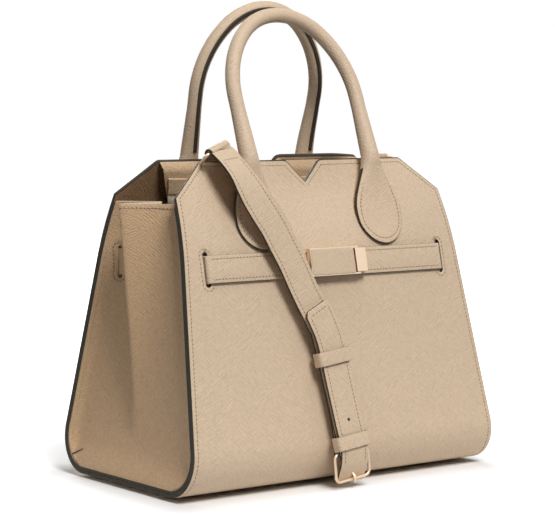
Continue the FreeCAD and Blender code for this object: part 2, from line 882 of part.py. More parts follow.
def root_solid(centre, side):
    """Swelling of the leg above the paddle: a round taper that sinks into the paddle."""
    top = Vector(centre, side * HINGE_Y, FLOOR + HINGE_Z)
    low = HINGE_Z - size("root_length")
    low_y = wrap_y(low) + size("tab_clear") + size("tab_thick") / 2
    axis = (Vector(centre, side * low_y, FLOOR + low) - top).normalize()
    start = top + axis * size("root_top_gap")
    length = size("root_length") - size("root_top_gap")
    return Part.makeCone(size("handle_root_radius"), size("root_low_radius"), length, start, axis)


def tab(side, centre):
    """Paddle and swelling in one piece."""
    reach = size("base_width") / 2
    low = TAB_LOW - size("tab_thick")
    thick = size("tab_thick")
    skin = sheet_solid(-size("tab_clear") - thick, thick, -1, size("top_height"), reach, low=low)
    paddle = skin.common(tab_outline(centre))
    if side > 0:
        paddle = paddle.mirror(Vector(), EY)
    wall = u_prism(-size("tab_clear"), size("top_height") + size("base_radius"))
    swell = root_solid(centre, side).cut(wall)
    hinge = handle_place(side).Base + EX * centre
    ball = Part.makeSphere(size("handle_root_radius") + size("hinge_clear"), hinge)
    return paddle.fuse(swell).removeSplitter().cut(ball)


for wall, side in (("front", -1), ("back", 1)):
    for hand, sign in (("left", -1), ("right", 1)):
        feature("%s_%s_tab" % (wall, hand), tab(side, sign * LEG))


# Ribbons: flat strips carried through stations of centre, across and outward directions

def ribbon(stations, width, thick):
    """Strip of constant section; each station is (centre, across, outward)."""
    wires = []
    for centre, across, outward in stations:
        a = across * (width / 2)
        b = outward * (thick / 2)
        ring = [centre - a - b, centre + a - b, centre + a + b, centre - a + b]
        wires.append(Part.makePolygon(ring + [ring[0]]))
    return Part.makeLoft(wires, True, True)


# Belt: front runs in the plane of the panel at belt height, then back through the pleats

PANEL_UP = Vector(0, math.sin(LEAN), math.cos(LEAN))
PANEL_OUT = Vector(0, -math.cos(LEAN), math.sin(LEAN))
BELT_ZERO = Vector(0, -wrap_y(BELT_ZB), FLOOR + BELT_ZB)
BELT_PLACE = Placement(BELT_ZERO, Rotation(EX, -size("lean_angle")))
BELT_MID = size("belt_clear") + size("belt_thick") / 2
BELT_FRONT = size("belt_clear") + size("belt_thick")


def belt(sign, end_x):
    """One half of the belt, from under the clasp to its sewn end inside the rear wall."""
    start, end = belt_side_frame()
    start = Vector(-sign * start.x, start.y, start.z)
    end = Vector(-sign * end.x, end.y, end.z)
    corner = BELT_ZERO + PANEL_OUT * BELT_MID + EX * (sign * SLOT_X)
    run = Vector(end.x - corner.x, end.y - corner.y, 0).normalize()
    outside = Vector(-run.y, run.x, 0) * sign * -1.0
    bend = PANEL_OUT + outside
    stations = [
        (BELT_ZERO + PANEL_OUT * BELT_MID + EX * (sign * end_x), PANEL_UP, PANEL_OUT),
        (corner, PANEL_UP, bend * (1.0 / (1.0 + PANEL_OUT.dot(outside)))),
        (corner + (end - corner) * 0.2, (PANEL_UP * 0.6 + EZ * 0.4).normalize(), outside),
        (corner + (end - corner) * 0.45, EZ, outside),
        (Vector(end.x, end.y, corner.z), EZ, outside),
    ]
    return ribbon(stations, size("belt_width"), size("belt_thick"))


feature("left_belt", belt(-1, size("belt_left_end")))
feature("right_belt", belt(1, size("belt_right_end")))


# Clasp, in the belt's plane: x across, -y outwards, z up the panel

PLATE_BACK = BELT_FRONT + size("seam_gap")
PLATE_FRONT = PLATE_BACK + size("clasp_plate_thick")
FRAME_BACK = PLATE_FRONT + size("clasp_lift_gap")
FRAME_FRONT = FRAME_BACK + size("clasp_frame_thick")
PIN_Y = -(FRAME_BACK + FRAME_FRONT) / 2
PIN_X = size("clasp_pin_x")
HALF = size("clasp_half_height")
EAR_LOW = HALF - size("clasp_ear")


def block(x0, x1, y0, y1, z0, z1):
    """Box between two corners."""
    return Part.makeBox(x1 - x0, y1 - y0, z1 - z0, Vector(x0, y0, z0))


def upright(radius, x, y, z0, z1):
    """Round bar along the panel's upward direction."""
    return Part.makeCylinder(radius, z1 - z0, Vector(x, y, z0), EZ)


def clasp_frame():
    """Shallow tray with thin rails and two ears round the pin."""
    left = -size("clasp_left")
    right = size("clasp_right")
    rail = size("clasp_rail")
    tray = block(left, right, -FRAME_FRONT, -FRAME_BACK, -HALF, HALF)
    window = block(left + rail, right - rail, -FRAME_FRONT, -FRAME_FRONT + size("clasp_recess"),
                   -HALF + rail, HALF - rail)
    tray = tray.cut(window)
    ear_radius = size("clasp_frame_thick") / 2
    for low, high in ((EAR_LOW, HALF), (-HALF, -EAR_LOW)):
        arm = block(right - rail, PIN_X, PIN_Y - ear_radius, PIN_Y + ear_radius, low, high)
        tray = tray.fuse(arm).fuse(upright(ear_radius, PIN_X, PIN_Y, low, high))
    hole = size("clasp_pin_radius") + size("clasp_pin_clear") / 2
    tray = tray.removeSplitter().cut(upright(hole, PIN_X, PIN_Y, -HALF, HALF))
    depth = size("clasp_lift_gap") + size("clasp_plate_thick") + size("clasp_ear_gap")
    socket = Part.makeCylinder(size("catch_radius") + size("catch_clear"), depth,
                               Vector(CATCH_X, -FRAME_BACK, 0), -EY)
    return tray.cut(socket)


CATCH_X = -(size("clasp_left") + size("belt_left_end")) / 2


def clasp_inlay():
    """Leather laid in the tray."""
    gap = size("clasp_rail") + size("inlay_clear")
    floor_y = -FRAME_FRONT + size("clasp_recess") - size("inlay_clear")
    front_y = -FRAME_FRONT + size("inlay_clear")
    left = -size("clasp_left") + gap
    right = size("clasp_right") - gap
    return block(left, right, front_y, floor_y, -HALF + gap, HALF - gap)


def clasp_bar():
    """Broad end bar with the hinge barrel, on a plate riveted to the right belt."""
    reach = EAR_LOW - size("clasp_ear_gap")
    radius = size("clasp_barrel_radius")
    barrel = upright(radius, PIN_X, PIN_Y, -reach, reach)
    bar = block(PIN_X, size("clasp_bar_right"), PIN_Y - radius, -PLATE_BACK, -reach, reach)
    plate = block(PIN_X - radius, size("clasp_bar_right"), -PLATE_FRONT, -PLATE_BACK, -reach, reach)
    foot_block = block(PIN_X - radius / 2, PIN_X, PIN_Y, -PLATE_BACK, -reach, reach)
    solid = barrel.fuse(bar).fuse(plate).fuse(foot_block).removeSplitter()
    bore = size("clasp_pin_radius") + size("clasp_pin_clear")
    return solid.cut(upright(bore, PIN_X, PIN_Y, -HALF, HALF))


def clasp_catch():
    """Plate and stud on the left belt; the tray snaps over the stud."""
    reach = EAR_LOW - size("clasp_rail")
    left = -size("clasp_left") + size("clasp_rail")
    plate = block(left, -size("belt_left_end") - size("clasp_rail"), -PLATE_FRONT, -PLATE_BACK, -reach, reach)
    length = PLATE_FRONT - PLATE_BACK + size("clasp_lift_gap") + size("clasp_plate_thick")
    stud = Part.makeCylinder(size("catch_radius"), length, Vector(CATCH_X, -PLATE_BACK, 0), -EY)
    return plate.fuse(stud).removeSplitter()


pin = doc.addObject("Part::Cylinder", "clasp_pin")
pin.setExpression("Radius", "Sizes.clasp_pin_radius")
pin.setExpression("Height", "2 * Sizes.clasp_half_height")
pin.Placement = BELT_PLACE.multiply(Placement(Vector(PIN_X, PIN_Y, -HALF), Rotation()))
keep(pin, "clasp_pin")
feature("clasp_frame", clasp_frame(), BELT_PLACE)
feature("clasp_inlay", clasp_inlay(), BELT_PLACE)
feature("clasp_bar", clasp_bar(), BELT_PLACE)
feature("clasp_catch", clasp_catch(), BELT_PLACE)


# Shoulder strap. The route is the middle of the visible limb from the ring at the top left
# edge, over the left tab and the belt, down to the buckle; it stays as chosen by eye.

RING_X = size("top_width") / 2 - size("ring_inset")
EDGE_Z = FLOOR + size("top_height")
EDGE_Y = -wrap_y(size("top_height"))
EYE = Vector(0, EDGE_Y + size("ring_eye_inset"), EDGE_Z - size("seam_gap"))
LOOP = Vector(-RING_X, EDGE_Y - size("loop_standoff"), EDGE_Z + size("loop_rise"))
PIVOT = Vector(
    -size("buckle_shift"),
    math.tan(LEAN) * size("buckle_height") - size("base_half_depth") - size("buckle_standoff"),
    FLOOR + size("buckle_height"),
)

# each place is a share of the height and of the sideways run from buckle to ring,
# and how many strap thicknesses the limb stands off the panel there
ROUTE_SHARES = [
    (0.959, 0.981, 8.8),
    (0.916, 0.931, 9.6),
    (0.865, 0.862, 8.9),
    (0.800, 0.755, 7.5),
    (0.740, 0.642, 6.25),
    (0.676, 0.548, 5.25),
    (0.616, 0.460, 4.75),
    (0.521, 0.341, 4.2),
    (0.431, 0.222, 4.0),
    (0.354, 0.153, 4.0),
]


def route_point(up, across, layers):
    """Middle of the visible limb at one place of the route."""
    z = PIVOT.z + (LOOP.z - PIVOT.z) * up
    x = PIVOT.x + (LOOP.x - PIVOT.x) * across
    return Vector(x, -wrap_y(z - FLOOR) - layers * size("strap_thick"), z)


ROUTE = [route_point(*place) for place in ROUTE_SHARES]
DOWN = (PIVOT - ROUTE[-1]).normalize()
ACROSS = (EX - DOWN * EX.dot(DOWN)).normalize()
OUT = DOWN.cross(ACROSS)


def limb_stations(points):
    """Stations along a limb: flat side to the bag, across as level as the route allows."""
    stations = []
    for number, point in enumerate(points):
        before = points[max(number - 1, 0)]
        after = points[min(number + 1, len(points) - 1)]
        along = (after - before).normalize()
        across = (EX - along * EX.dot(along)).normalize()
        stations.append((point, across, along.cross(across)))
    return stations


LIMB = [LOOP + Vector(0, 1, 0) * -(size("loop_radius") - size("strap_thick") / 2)] + ROUTE + [PIVOT]
limb = limb_stations(LIMB)
limb[0] = (LIMB[0], EX, -EY)
limb[-1] = (PIVOT, ACROSS, OUT)
limb[-2] = (LIMB[-2], ACROSS, OUT)

BUCKLE_PLACE = Placement(Matrix(
    ACROSS.x, -OUT.x, -DOWN.x, PIVOT.x,
    ACROSS.y, -OUT.y, -DOWN.y, PIVOT.y,
    ACROSS.z, -OUT.z, -DOWN.z, PIVOT.z,
    0, 0, 0, 1,
))
WIDE = size("strap_width")
WRAP_RADIUS = size("buckle_pivot_radius") + size("buckle_pivot_clear") + size("buckle_wrap_thick")


def along_x(radius, half, y, z):
    """Round bar across the buckle."""
    return Part.makeCylinder(radius, 2 * half, Vector(-half, y, z), EX)


def strap_upper():
    """Visible limb: sewn loop at the ring, flat run, wrap round the buckle's pivot."""
    run = ribbon(limb, WIDE, size("strap_thick"))
    top = Part.makeCylinder(size("loop_radius"), WIDE, LOOP - EX * (WIDE / 2), EX)
    bar_hole = size("ring_wire_radius") + size("ring_bar_clear")
    top_bore = Part.makeCylinder(bar_hole, WIDE, LOOP - EX * (WIDE / 2), EX)
    wrap = along_x(WRAP_RADIUS, WIDE / 2, 0, 0)
    bore = along_x(size("buckle_pivot_radius") + size("buckle_pivot_clear"), WIDE, 0, 0)
    reach = WRAP_RADIUS + size("tongue_thick")
    half = size("tongue_slot_half")
    gap = block(-half, half, -reach, reach, -reach, reach)
    for piece in (wrap, bore, gap):
        piece.Placement = BUCKLE_PLACE
    solid = run.fuse(top).fuse(wrap).removeSplitter()
    return solid.cut(top_bore).cut(bore).cut(gap)


TIP_OUT = size("strap_thick") / 2 + size("strap_tip_gap") + size("strap_tip_thick") / 2
BACK_IN = size("strap_thick") / 2 + size("strap_back_gap") + size("strap_thick") / 2
BOTTOM = -size("buckle_length")
BAR_OUT = size("buckle_wire_radius") + size("strap_tip_thick") / 2 + size("keeper_clear")


def buckle_point(y, z):
    """Point in the middle plane of the buckle, given in its own frame."""
    return BUCKLE_PLACE.multVec(Vector(0, y, z))


def buckle_vec(y, z):
    """Direction in the buckle's own frame."""
    return BUCKLE_PLACE.Rotation.multVec(Vector(0, y, z)).normalize()


def strap_lower():
    """Hole end: tip over the limb, through the buckle, back up behind it and over into the bag."""
    stations = []
    tip = limb[8]
    tip_share = 0.42
    start = limb[8][0] + (limb[9][0] - limb[8][0]) * tip_share
    stations.append((start + tip[2] * TIP_OUT, tip[1], tip[2]))
    for centre, across, outward in limb[9:11]:
        stations.append((centre + outward * TIP_OUT, across, outward))
    stations.append((buckle_point(-TIP_OUT, -WRAP_RADIUS * 0.6), ACROSS, buckle_vec(-1, 0.13)))
    stations.append((buckle_point(-TIP_OUT * 0.3, BOTTOM * 0.55), ACROSS, buckle_vec(-1, 0.22)))
    front_y = 0.0
    stations.append((buckle_point(front_y, BOTTOM + size("strap_thick")), ACROSS, buckle_vec(-1, 0.1)))
    middle_y = (front_y + BACK_IN) / 2
    radius = (BACK_IN - front_y) / 2
    for step in (1, 2, 3):
        angle = math.pi * step / 4
        spot = buckle_point(middle_y - radius * math.cos(angle), BOTTOM - radius * math.sin(angle))
        stations.append((spot, ACROSS, buckle_vec(-math.cos(angle), -math.sin(angle))))
    stations.append((buckle_point(BACK_IN, BOTTOM + size("strap_thick")), ACROSS, buckle_vec(1, 0)))
    for centre, across, outward in reversed(limb[2:11]):
        stations.append((centre - outward * BACK_IN, across, outward * -1.0))
    over = [
        (EDGE_Y - 15.9, EDGE_Z - 3.0, Vector(0, 0.75, -0.66)),
        (EDGE_Y - 6.9, EDGE_Z + 1.8, Vector(0, 0.35, -0.94)),
        (EDGE_Y + 2.1, EDGE_Z + 4.3, Vector(0, 0.15, -0.99)),
        (EYE.y, EDGE_Z + 5.3, Vector(0, -0.1, -1.0)),
        (EYE.y + 7.5, EDGE_Z + 1.8, Vector(0, -0.85, -0.53)),
        (EYE.y + 9.5, EDGE_Z - 8.0, Vector(0, -1.0, 0.0)),
        (EYE.y + 9.5, EDGE_Z - size("strap_inner_drop"), Vector(0, -1.0, 0.0)),
    ]
    for y, z, inward in over:
        stations.append((Vector(-RING_X, y, z), EX, inward.normalize()))
    solid = ribbon(stations, WIDE, size("strap_tip_thick"))
    half = size("tongue_slot_half")
    hole = block(-half, half, -TIP_OUT * 2, BACK_IN / 3, BOTTOM * 0.78, -size("buckle_pivot_radius"))
    hole.Placement = BUCKLE_PLACE
    return solid.cut(hole)


feature("strap_upper", strap_upper())
feature("strap_lower", strap_lower())


# Buckle frame and tongue, in the buckle's own frame: -y outwards, z up along the strap

BAR_Y = -BAR_OUT


def buckle_frame():
    """Bent wire rectangle with the pivot at the top."""
    half = size("buckle_half_width")
    wire = size("buckle_wire_radius")
    solid = along_x(size("buckle_pivot_radius"), half, 0, 0)
    solid = solid.fuse(along_x(wire, half, BAR_Y, BOTTOM))
    for sign in (-1, 1):
        top = Vector(sign * half, 0, 0)
        low = Vector(sign * half, BAR_Y, BOTTOM)
        solid = solid.fuse(Part.makeCylinder(wire, (low - top).Length, top, low - top))
        solid = solid.fuse(Part.makeSphere(wire, top)).fuse(Part.makeSphere(wire, low))
    return solid.removeSplitter()


def buckle_tongue():
    """Prong round the pivot that passes through the hole and rests on the far bar."""
    half = size("tongue_width") / 2
    thick = size("tongue_thick")
    eye = size("buckle_pivot_radius") + size("buckle_pivot_clear")
    rest_y = BAR_Y - size("buckle_wire_radius") - size("tongue_rest_gap") - thick / 2
    end = Vector(0, rest_y, BOTTOM - size("buckle_wire_radius"))
    along = Vector(end).normalize()
    normal = Vector(0, along.z, -along.y)
    ring = [
        normal * (thick / 2),
        end + normal * (thick / 2),
        end + along * (thick / 2),
        end - normal * (thick / 2),
        normal * (-thick / 2),
    ]
    ring = [point - EX * half for point in ring]
    arm = Part.Face(Part.makePolygon(ring + [ring[0]])).extrude(EX * (2 * half))
    knuckle = along_x(eye + thick * 0.7, half, 0, 0)
    return arm.fuse(knuckle).removeSplitter().cut(along_x(eye, half * 2, 0, 0))


def keeper(at):
    """Leather loop round the limb and the tip."""
    wall = size("keeper_wall")
    half = WIDE / 2 + size("keeper_side_clear")
    front = -(TIP_OUT + size("strap_tip_thick") / 2 + size("keeper_clear"))
    back = size("strap_thick") / 2 + size("keeper_clear")
    low = at - size("keeper_height") / 2
    high = at + size("keeper_height") / 2
    outer = block(-half - wall, half + wall, front - wall, back + wall, low, high)
    return outer.cut(block(-half, half, front, back, low, high))


feature("buckle_frame", buckle_frame(), BUCKLE_PLACE)
feature("buckle_tongue", buckle_tongue(), BUCKLE_PLACE)
feature("free_keeper", keeper(size("keeper_free_at")), BUCKLE_PLACE)
feature("fixed_keeper", keeper(size("keeper_fixed_at")), BUCKLE_PLACE)


# Rings on leather tabs inside the front top edge

TAB_DEPTH = INNER + size("facing_thick") + size("seam_gap")
TAB_TOP = size("top_height") - size("ring_tab_below")


def ring_tab(sign):
    """Leather tab sewn to the facing, rolled round the ring's lower bar."""
    half = size("ring_tab_width") / 2
    skin = sheet_solid(TAB_DEPTH, size("ring_tab_thick"), -1, TAB_TOP, half,
                       low=TAB_TOP - size("ring_tab_drop"))
    roll = Part.makeCylinder(size("ring_tab_radius"), 2 * half, EYE - EX * half, EX)
    bore = Part.makeCylinder(size("ring_wire_radius") + size("ring_bar_clear"), 2 * half, EYE - EX * half, EX)
    low = TAB_TOP - size("ring_tab_thick")
    thick = size("ring_tab_thick")
    start = Vector(0, -wrap_y(low, TAB_DEPTH + thick), FLOOR + low)
    lower = (EYE - start).normalize()
    side = Vector(0, lower.z, -lower.y)
    reach = size("ring_tab_radius")
    corners = [
        Vector(0, -wrap_y(TAB_TOP, TAB_DEPTH), FLOOR + TAB_TOP),
        start,
        EYE + side * (reach - thick),
        EYE - side * (reach - thick),
    ]
    corners = [point - EX * half for point in corners]
    neck = Part.Face(Part.makePolygon(corners + [corners[0]])).extrude(EX * (2 * half))
    solid = skin.fuse(neck).fuse(roll).removeSplitter().cut(bore)
    solid.translate(EX * (sign * RING_X))
    return solid


def ring(centre_x, far):
    """Rectangular wire ring from the tab's eye to a far bar."""
    half = size("ring_inner_width") / 2 + size("ring_wire_radius")
    wire = size("ring_wire_radius")
    near = EYE + EX * centre_x
    corners = [near - EX * half, near + EX * half, far + EX * half, far - EX * half]
    solid = None
    for start, end in zip(corners, corners[1:] + corners[:1]):
        bar = Part.makeCylinder(wire, (end - start).Length, start, end - start)
        joint = Part.makeSphere(wire, start)
        solid = bar.fuse(joint) if solid is None else solid.fuse(bar).fuse(joint)
    return solid.removeSplitter()


ring_reach = (LOOP - (EYE - EX * RING_X)).Length
feature("left_ring_tab", ring_tab(-1))
feature("right_ring_tab", ring_tab(1))
feature("left_ring", ring(-RING_X, LOOP))
feature("right_ring", ring(RING_X, EYE + EX * RING_X - EZ * ring_reach))


# Checks on the finished document, then one file for each piece

doc.recompute()
for obj in doc.Objects:
    if "Invalid" in obj.State or "Error" in obj.State:
        raise RuntimeError(obj.Label + " failed to recompute")
for obj in nodes:
    if obj.Shape.isNull() or not obj.Shape.isValid():
        raise RuntimeError(obj.Label + " has no valid shape")
    if not obj.Shape.Solids:
        raise RuntimeError(obj.Label + " holds no solid")
for obj in nodes:
    obj.Shape.exportStep("parts/%s.step" % obj.Label)
    print("%-20s %d solids %10.1f mm3" % (obj.Label, len(obj.Shape.Solids), obj.Shape.Volume))
print("%d pieces" % len(nodes))
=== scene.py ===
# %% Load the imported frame
import math

import bmesh
import bpy
import numpy as np
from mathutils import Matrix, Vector


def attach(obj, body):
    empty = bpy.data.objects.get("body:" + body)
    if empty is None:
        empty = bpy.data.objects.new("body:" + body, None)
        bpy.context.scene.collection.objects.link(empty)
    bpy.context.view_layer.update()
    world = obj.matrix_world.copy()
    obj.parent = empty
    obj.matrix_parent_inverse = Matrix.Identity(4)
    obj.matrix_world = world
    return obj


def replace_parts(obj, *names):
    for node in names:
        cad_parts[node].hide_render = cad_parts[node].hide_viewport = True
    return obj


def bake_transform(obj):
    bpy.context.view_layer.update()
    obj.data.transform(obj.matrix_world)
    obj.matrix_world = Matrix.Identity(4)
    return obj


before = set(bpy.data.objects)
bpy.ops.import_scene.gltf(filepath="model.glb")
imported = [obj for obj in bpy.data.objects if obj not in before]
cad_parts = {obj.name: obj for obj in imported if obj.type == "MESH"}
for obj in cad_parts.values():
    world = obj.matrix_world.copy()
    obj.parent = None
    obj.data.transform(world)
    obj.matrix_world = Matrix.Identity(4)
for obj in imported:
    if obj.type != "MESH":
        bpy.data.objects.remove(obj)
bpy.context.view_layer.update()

# %% [markdown]
# ## The lesson
# A structured top handle bag is leather over stiff boards: two leaning panels that roll under into the base, two
# pleated gussets, rolled handles, a belt with a metal clasp and a shoulder strap with a buckle. The feet, the board
# and most of the clasp come from the CAD frame. Leather, cloth and bent wire are made here as surfaces worked out
# with numpy, in the frame's own millimetres, because leather has rounded edges, soft folds and stitches that plain
# solids don't show.

# %% [markdown]
# ## Camera
# The photograph was fitted to the outline first, so the camera is a plain pinhole at the fitted place: a long lens
# from the front left, a little above the middle of the bag. A long lens keeps the handles from growing.

# %% Camera
MM = 0.001
PHOTO_WIDTH = 555
FOCAL_PIXELS = 2022.68
SENSOR = 36.0
CAMERA_SPOT = Vector((-0.9737, -1.2977, 0.2988))
CAMERA_AIM = Vector((-0.00259, 0.0, 0.16849))

scene = bpy.context.scene
scene.view_settings.view_transform = "Standard"
camera_data = bpy.data.cameras.new("photo_camera")
camera_data.sensor_width = SENSOR
camera_data.lens = FOCAL_PIXELS * SENSOR / PHOTO_WIDTH
camera_data.clip_end = 20.0
camera = bpy.data.objects.new("photo_camera", camera_data)
camera.location = CAMERA_SPOT
camera.rotation_euler = (CAMERA_AIM - CAMERA_SPOT).to_track_quat("-Z", "Y").to_euler()
scene.collection.objects.link(camera)
scene.camera = camera
print("lens %.1f mm" % camera_data.lens)

# %% [markdown]
# ## Shader arithmetic
# A material is a small program. One class wraps an output socket so that sums and products are written as Python
# expressions, and one method adds any other node with its settings and sockets.


# %% Shader classes
class Value:
    """One output socket of a finish; arithmetic on it adds Math nodes."""

    def __init__(self, finish, socket):
        self.finish = finish
        self.socket = socket

    def math(self, operation, other=None, swap=False):
        """A Math node of this value and another value or number."""
        pair = (other, self) if swap else (self, other)
        sockets = {index: item for index, item in enumerate(pair) if item is not None}
        return self.finish.node("ShaderNodeMath", {"operation": operation}, sockets)

    def __add__(self, other):
        return self.math("ADD", other)

    def __sub__(self, other):
        return self.math("SUBTRACT", other)

    def __rsub__(self, other):
        return self.math("SUBTRACT", other, swap=True)

    def __mul__(self, other):
        return self.math("MULTIPLY", other)

    __radd__ = __add__
    __rmul__ = __mul__


class Finish:
    """A material under construction, or a world when its node tree is given."""

    def __init__(self, name, tree=None):
        self.material = None if tree else bpy.data.materials.new(name)
        if self.material:
            self.material.use_nodes = True
        self.tree = tree or self.material.node_tree
        self.tree.nodes.clear()

    def node(self, kind, settings=None, sockets=None, out=0):
        """Add a node: settings first, then socket values or links."""
        made = self.tree.nodes.new(kind)
        for key, item in (settings or {}).items():
            setattr(made, key, item)
        for key, item in (sockets or {}).items():
            if isinstance(item, Value):
                self.tree.links.new(item.socket, made.inputs[key])
            else:
                made.inputs[key].default_value = item
        return Value(self, made.outputs[out])

    def spot(self):
        """Object coordinates in metres."""
        return self.node("ShaderNodeTexCoord", out=3)

    def noise(self, spot, scale, detail=2.0, out=0):
        """Noise at a spot, as a value or, from output 1, as three values."""
        return self.node("ShaderNodeTexNoise", {}, {"Vector": spot, "Scale": scale, "Detail": detail}, out)

    def step(self, value, low, high, top=1.0):
        """Smooth step from 0 to a top while a value goes from low to high."""
        sockets = {"Value": value, "From Min": low, "From Max": high, "To Max": top}
        return self.node("ShaderNodeMapRange", {"interpolation_type": "SMOOTHSTEP"}, sockets)

    def mix(self, factor, first, second):
        """Colour between two colours by a factor."""
        return self.node("ShaderNodeMix", {"data_type": "RGBA"}, {0: factor, 6: first, 7: second}, out=2)

    def surface(self, colour, rough, height, strength, distance, more):
        """Principled surface with a bump from a height, sent to the output; more names further sockets."""
        bump = self.node("ShaderNodeBump", {}, {"Strength": strength, "Distance": distance, "Height": height})
        sockets = {"Base Color": colour, "Roughness": rough, "Normal": bump, **more}
        return self.done(self.node("ShaderNodeBsdfPrincipled", {}, sockets))

    def done(self, shader, output="ShaderNodeOutputMaterial"):
        """Send a shader to the output and give the material."""
        out = self.tree.nodes.new(output)
        self.tree.links.new(shader.socket, out.inputs[0])
        return self.material


def tone(red, green, blue):
    """Screen colour from 0 to 255 as a linear colour with alpha."""
    share = np.array([red, green, blue]) / 255.0
    linear = np.where(share <= 0.04045, share / 12.92, ((share + 0.055) / 1.055) ** 2.4)
    return (*linear.tolist(), 1.0)


def shade(colour, gain):
    """A colour made darker or paler."""
    return tuple(min(1.0, part * gain) for part in colour[:3]) + (1.0,)


print("shader classes ready")

# %% [markdown]
# ## Leather
# The leather has a pressed grain: fine slanted lines, a few to the millimetre, hatched in two crossing directions and
# broken into dashes, with broad soft changes of tone. Wave bands stretched along each slant give the lines, noise
# breaks them, a slow noise lets one slant or the other lead, and what lies between the lines is darker and lower.

# %% Leather finish
GRAIN_LINES, FIRST_SLANT, SECOND_SLANT = 172.0, 0.75, -0.6


def leather(name, colour, plane="Y", stretch=3.6, depth=0.00024, furrow=0.5):
    """Pressed grain: fine wavering lines broken by stretched noise, in two slants; a slow noise picks the slant."""
    finish = Finish(name)
    spot = finish.spot()
    wobble = finish.noise(spot, 90.0, 1.0, out=1)
    bent = finish.node("ShaderNodeVectorMath", {"operation": "MULTIPLY_ADD"}, {0: wobble, 1: (0.0008,) * 3, 2: spot})

    def slanted(turn):
        """Lines and dashes drawn out along one slant."""
        angle, long = ((turn, 0, 0), (1, stretch, 1)) if plane == "X" else ((0, turn, 0), (stretch, 1, 1))
        turned = finish.node("ShaderNodeMapping", {"vector_type": "TEXTURE"},
                             {"Vector": bent, "Rotation": angle, "Scale": long})
        ribs = finish.node("ShaderNodeTexWave", {"bands_direction": "Z"}, {
            "Vector": turned, "Scale": GRAIN_LINES, "Distortion": 5.0, "Detail": 1.0, "Detail Scale": 2.2})
        dash = finish.step(finish.noise(turned, GRAIN_LINES * 5.0, 1.0), 0.36, 0.6)
        return ribs * 0.6 + dash * 0.4

    lead = 0.12 + finish.step(finish.noise(spot, 42.0, 1.0), 0.44, 0.56) * 0.76
    grain = slanted(FIRST_SLANT) * lead + slanted(SECOND_SLANT) * (1.0 - lead)
    broad = finish.noise(spot, 14.0, 3.0)
    pores = finish.noise(spot, 2600.0, 1.0)
    top = finish.mix(broad, shade(colour, 1.05), shade(colour, 1.11))
    painted = finish.mix((1.0 - grain) * furrow, top, shade(colour, 0.6))
    rough = 0.44 + broad * 0.1 + (1.0 - grain) * 0.16
    return finish.surface(painted, rough, grain + pores * 0.15, 0.85, depth, {
        "Specular IOR Level": 0.45, "Sheen Weight": 0.04, "Sheen Roughness": 0.5})


panel_leather = leather("grained_leather", tone(213, 189, 161))
# The gusset leather is the panels' leather in a warmer, darker tone: painted shade for the sides, which face away
# from the key lamp.
gusset_shaded_leather = leather("gusset_shaded_leather", tone(211, 176, 137), plane="X", depth=0.0003, furrow=0.65)
strap_leather = leather("strap_leather", tone(214, 190, 162))
handle_leather = leather("handle_leather", tone(215, 190, 162), stretch=3.0)
facing_leather = leather("facing_leather", tone(208, 177, 142), furrow=0.7)
# The pocket trim is the facing leather made paler: painted light that lifts the shade it lies in inside the bag.
trim_painted_light_leather = leather("trim_painted_light_leather", tone(224, 196, 162), furrow=0.7)
# The panels' inner face is a darker leather: partly the flesh side's own tone and partly painted shade for the deep
# wedge inside the bag.
flesh_and_shade_leather = leather("flesh_and_shade_leather", tone(158, 126, 94), furrow=0.85)
print("leathers mixed")

# %% [markdown]
# ## Edge paint, thread, cloth, metal and board
# Cut edges are closed with charcoal paint, laid on in coats, so it is smooth with a slight bead. Thread is waxed and
# a shade darker than the leather, and the needle holes are small dark dots of painted shade. The lining is a fine
# plain weave. The metal is pale rose gold plating with faint polishing lines. The board under the base is grey fibre.


# %% Other finishes
def coated(name, colour, rough, grain, lift, gleam=0.5):
    """Smooth coat with a fine unevenness: noise changes bump, tone and gloss."""
    finish = Finish(name)
    fine = finish.noise(finish.spot(), grain, 3.0)
    return finish.surface(finish.mix(fine, shade(colour, 0.72), colour), rough + (fine - 0.5) * 0.2, fine, 0.4, lift,
                          {"Specular IOR Level": gleam})


def woven(name, colour, pitch):
    """Plain weave: mean of two sine bands across each other, as height and as shade."""
    finish = Finish(name)
    spot = finish.spot()
    across, upright = [finish.node("ShaderNodeTexWave", {"bands_direction": way, "wave_profile": "SIN"},
                                   {"Vector": spot, "Scale": pitch, "Distortion": 0.4}) for way in "XZ"]
    cloud = finish.noise(spot, 30.0)
    weave = across * 0.5 + upright * 0.5
    return finish.surface(finish.mix(weave * 0.5 + cloud * 0.5, shade(colour, 0.8), colour), 0.78 + cloud * 0.1,
                          weave, 0.4, 0.0002, {"Sheen Weight": 0.15})


def plated(name, colour):
    """Polished plating: stretched noise gives faint polishing lines in gloss and bump."""
    finish = Finish(name)
    drawn = finish.node("ShaderNodeMapping", {}, {"Vector": finish.spot(), "Scale": (60.0, 900.0, 900.0)})
    lines = finish.noise(drawn, 3.0)
    return finish.surface(finish.mix(lines, shade(colour, 0.9), colour), 0.3 + lines * 0.14, lines, 0.08, 0.00005,
                          {"Metallic": 1.0})


edge_paint = coated("edge_paint", tone(68, 62, 52), 0.6, 700.0, 0.00006, gleam=0.22)
cut_edge = coated("raw_cut_edge", tone(206, 186, 160), 0.7, 900.0, 0.0001)
thread = coated("waxed_thread", tone(204, 178, 148), 0.6, 5200.0, 0.00012)
# Needle holes are flat dots in a darker tone: painted shade of the holes.
needle_hole_shade = coated("needle_hole_shade", tone(136, 107, 82), 0.8, 900.0, 0.00002)
lining_cloth = woven("lining_cloth", tone(214, 198, 172), 420.0)
rose_gold = plated("rose_gold_plating", tone(246, 220, 192))
fibre_board = coated("fibre_board", tone(120, 112, 104), 0.8, 300.0, 0.0002)
print("coats, cloth and metal mixed")

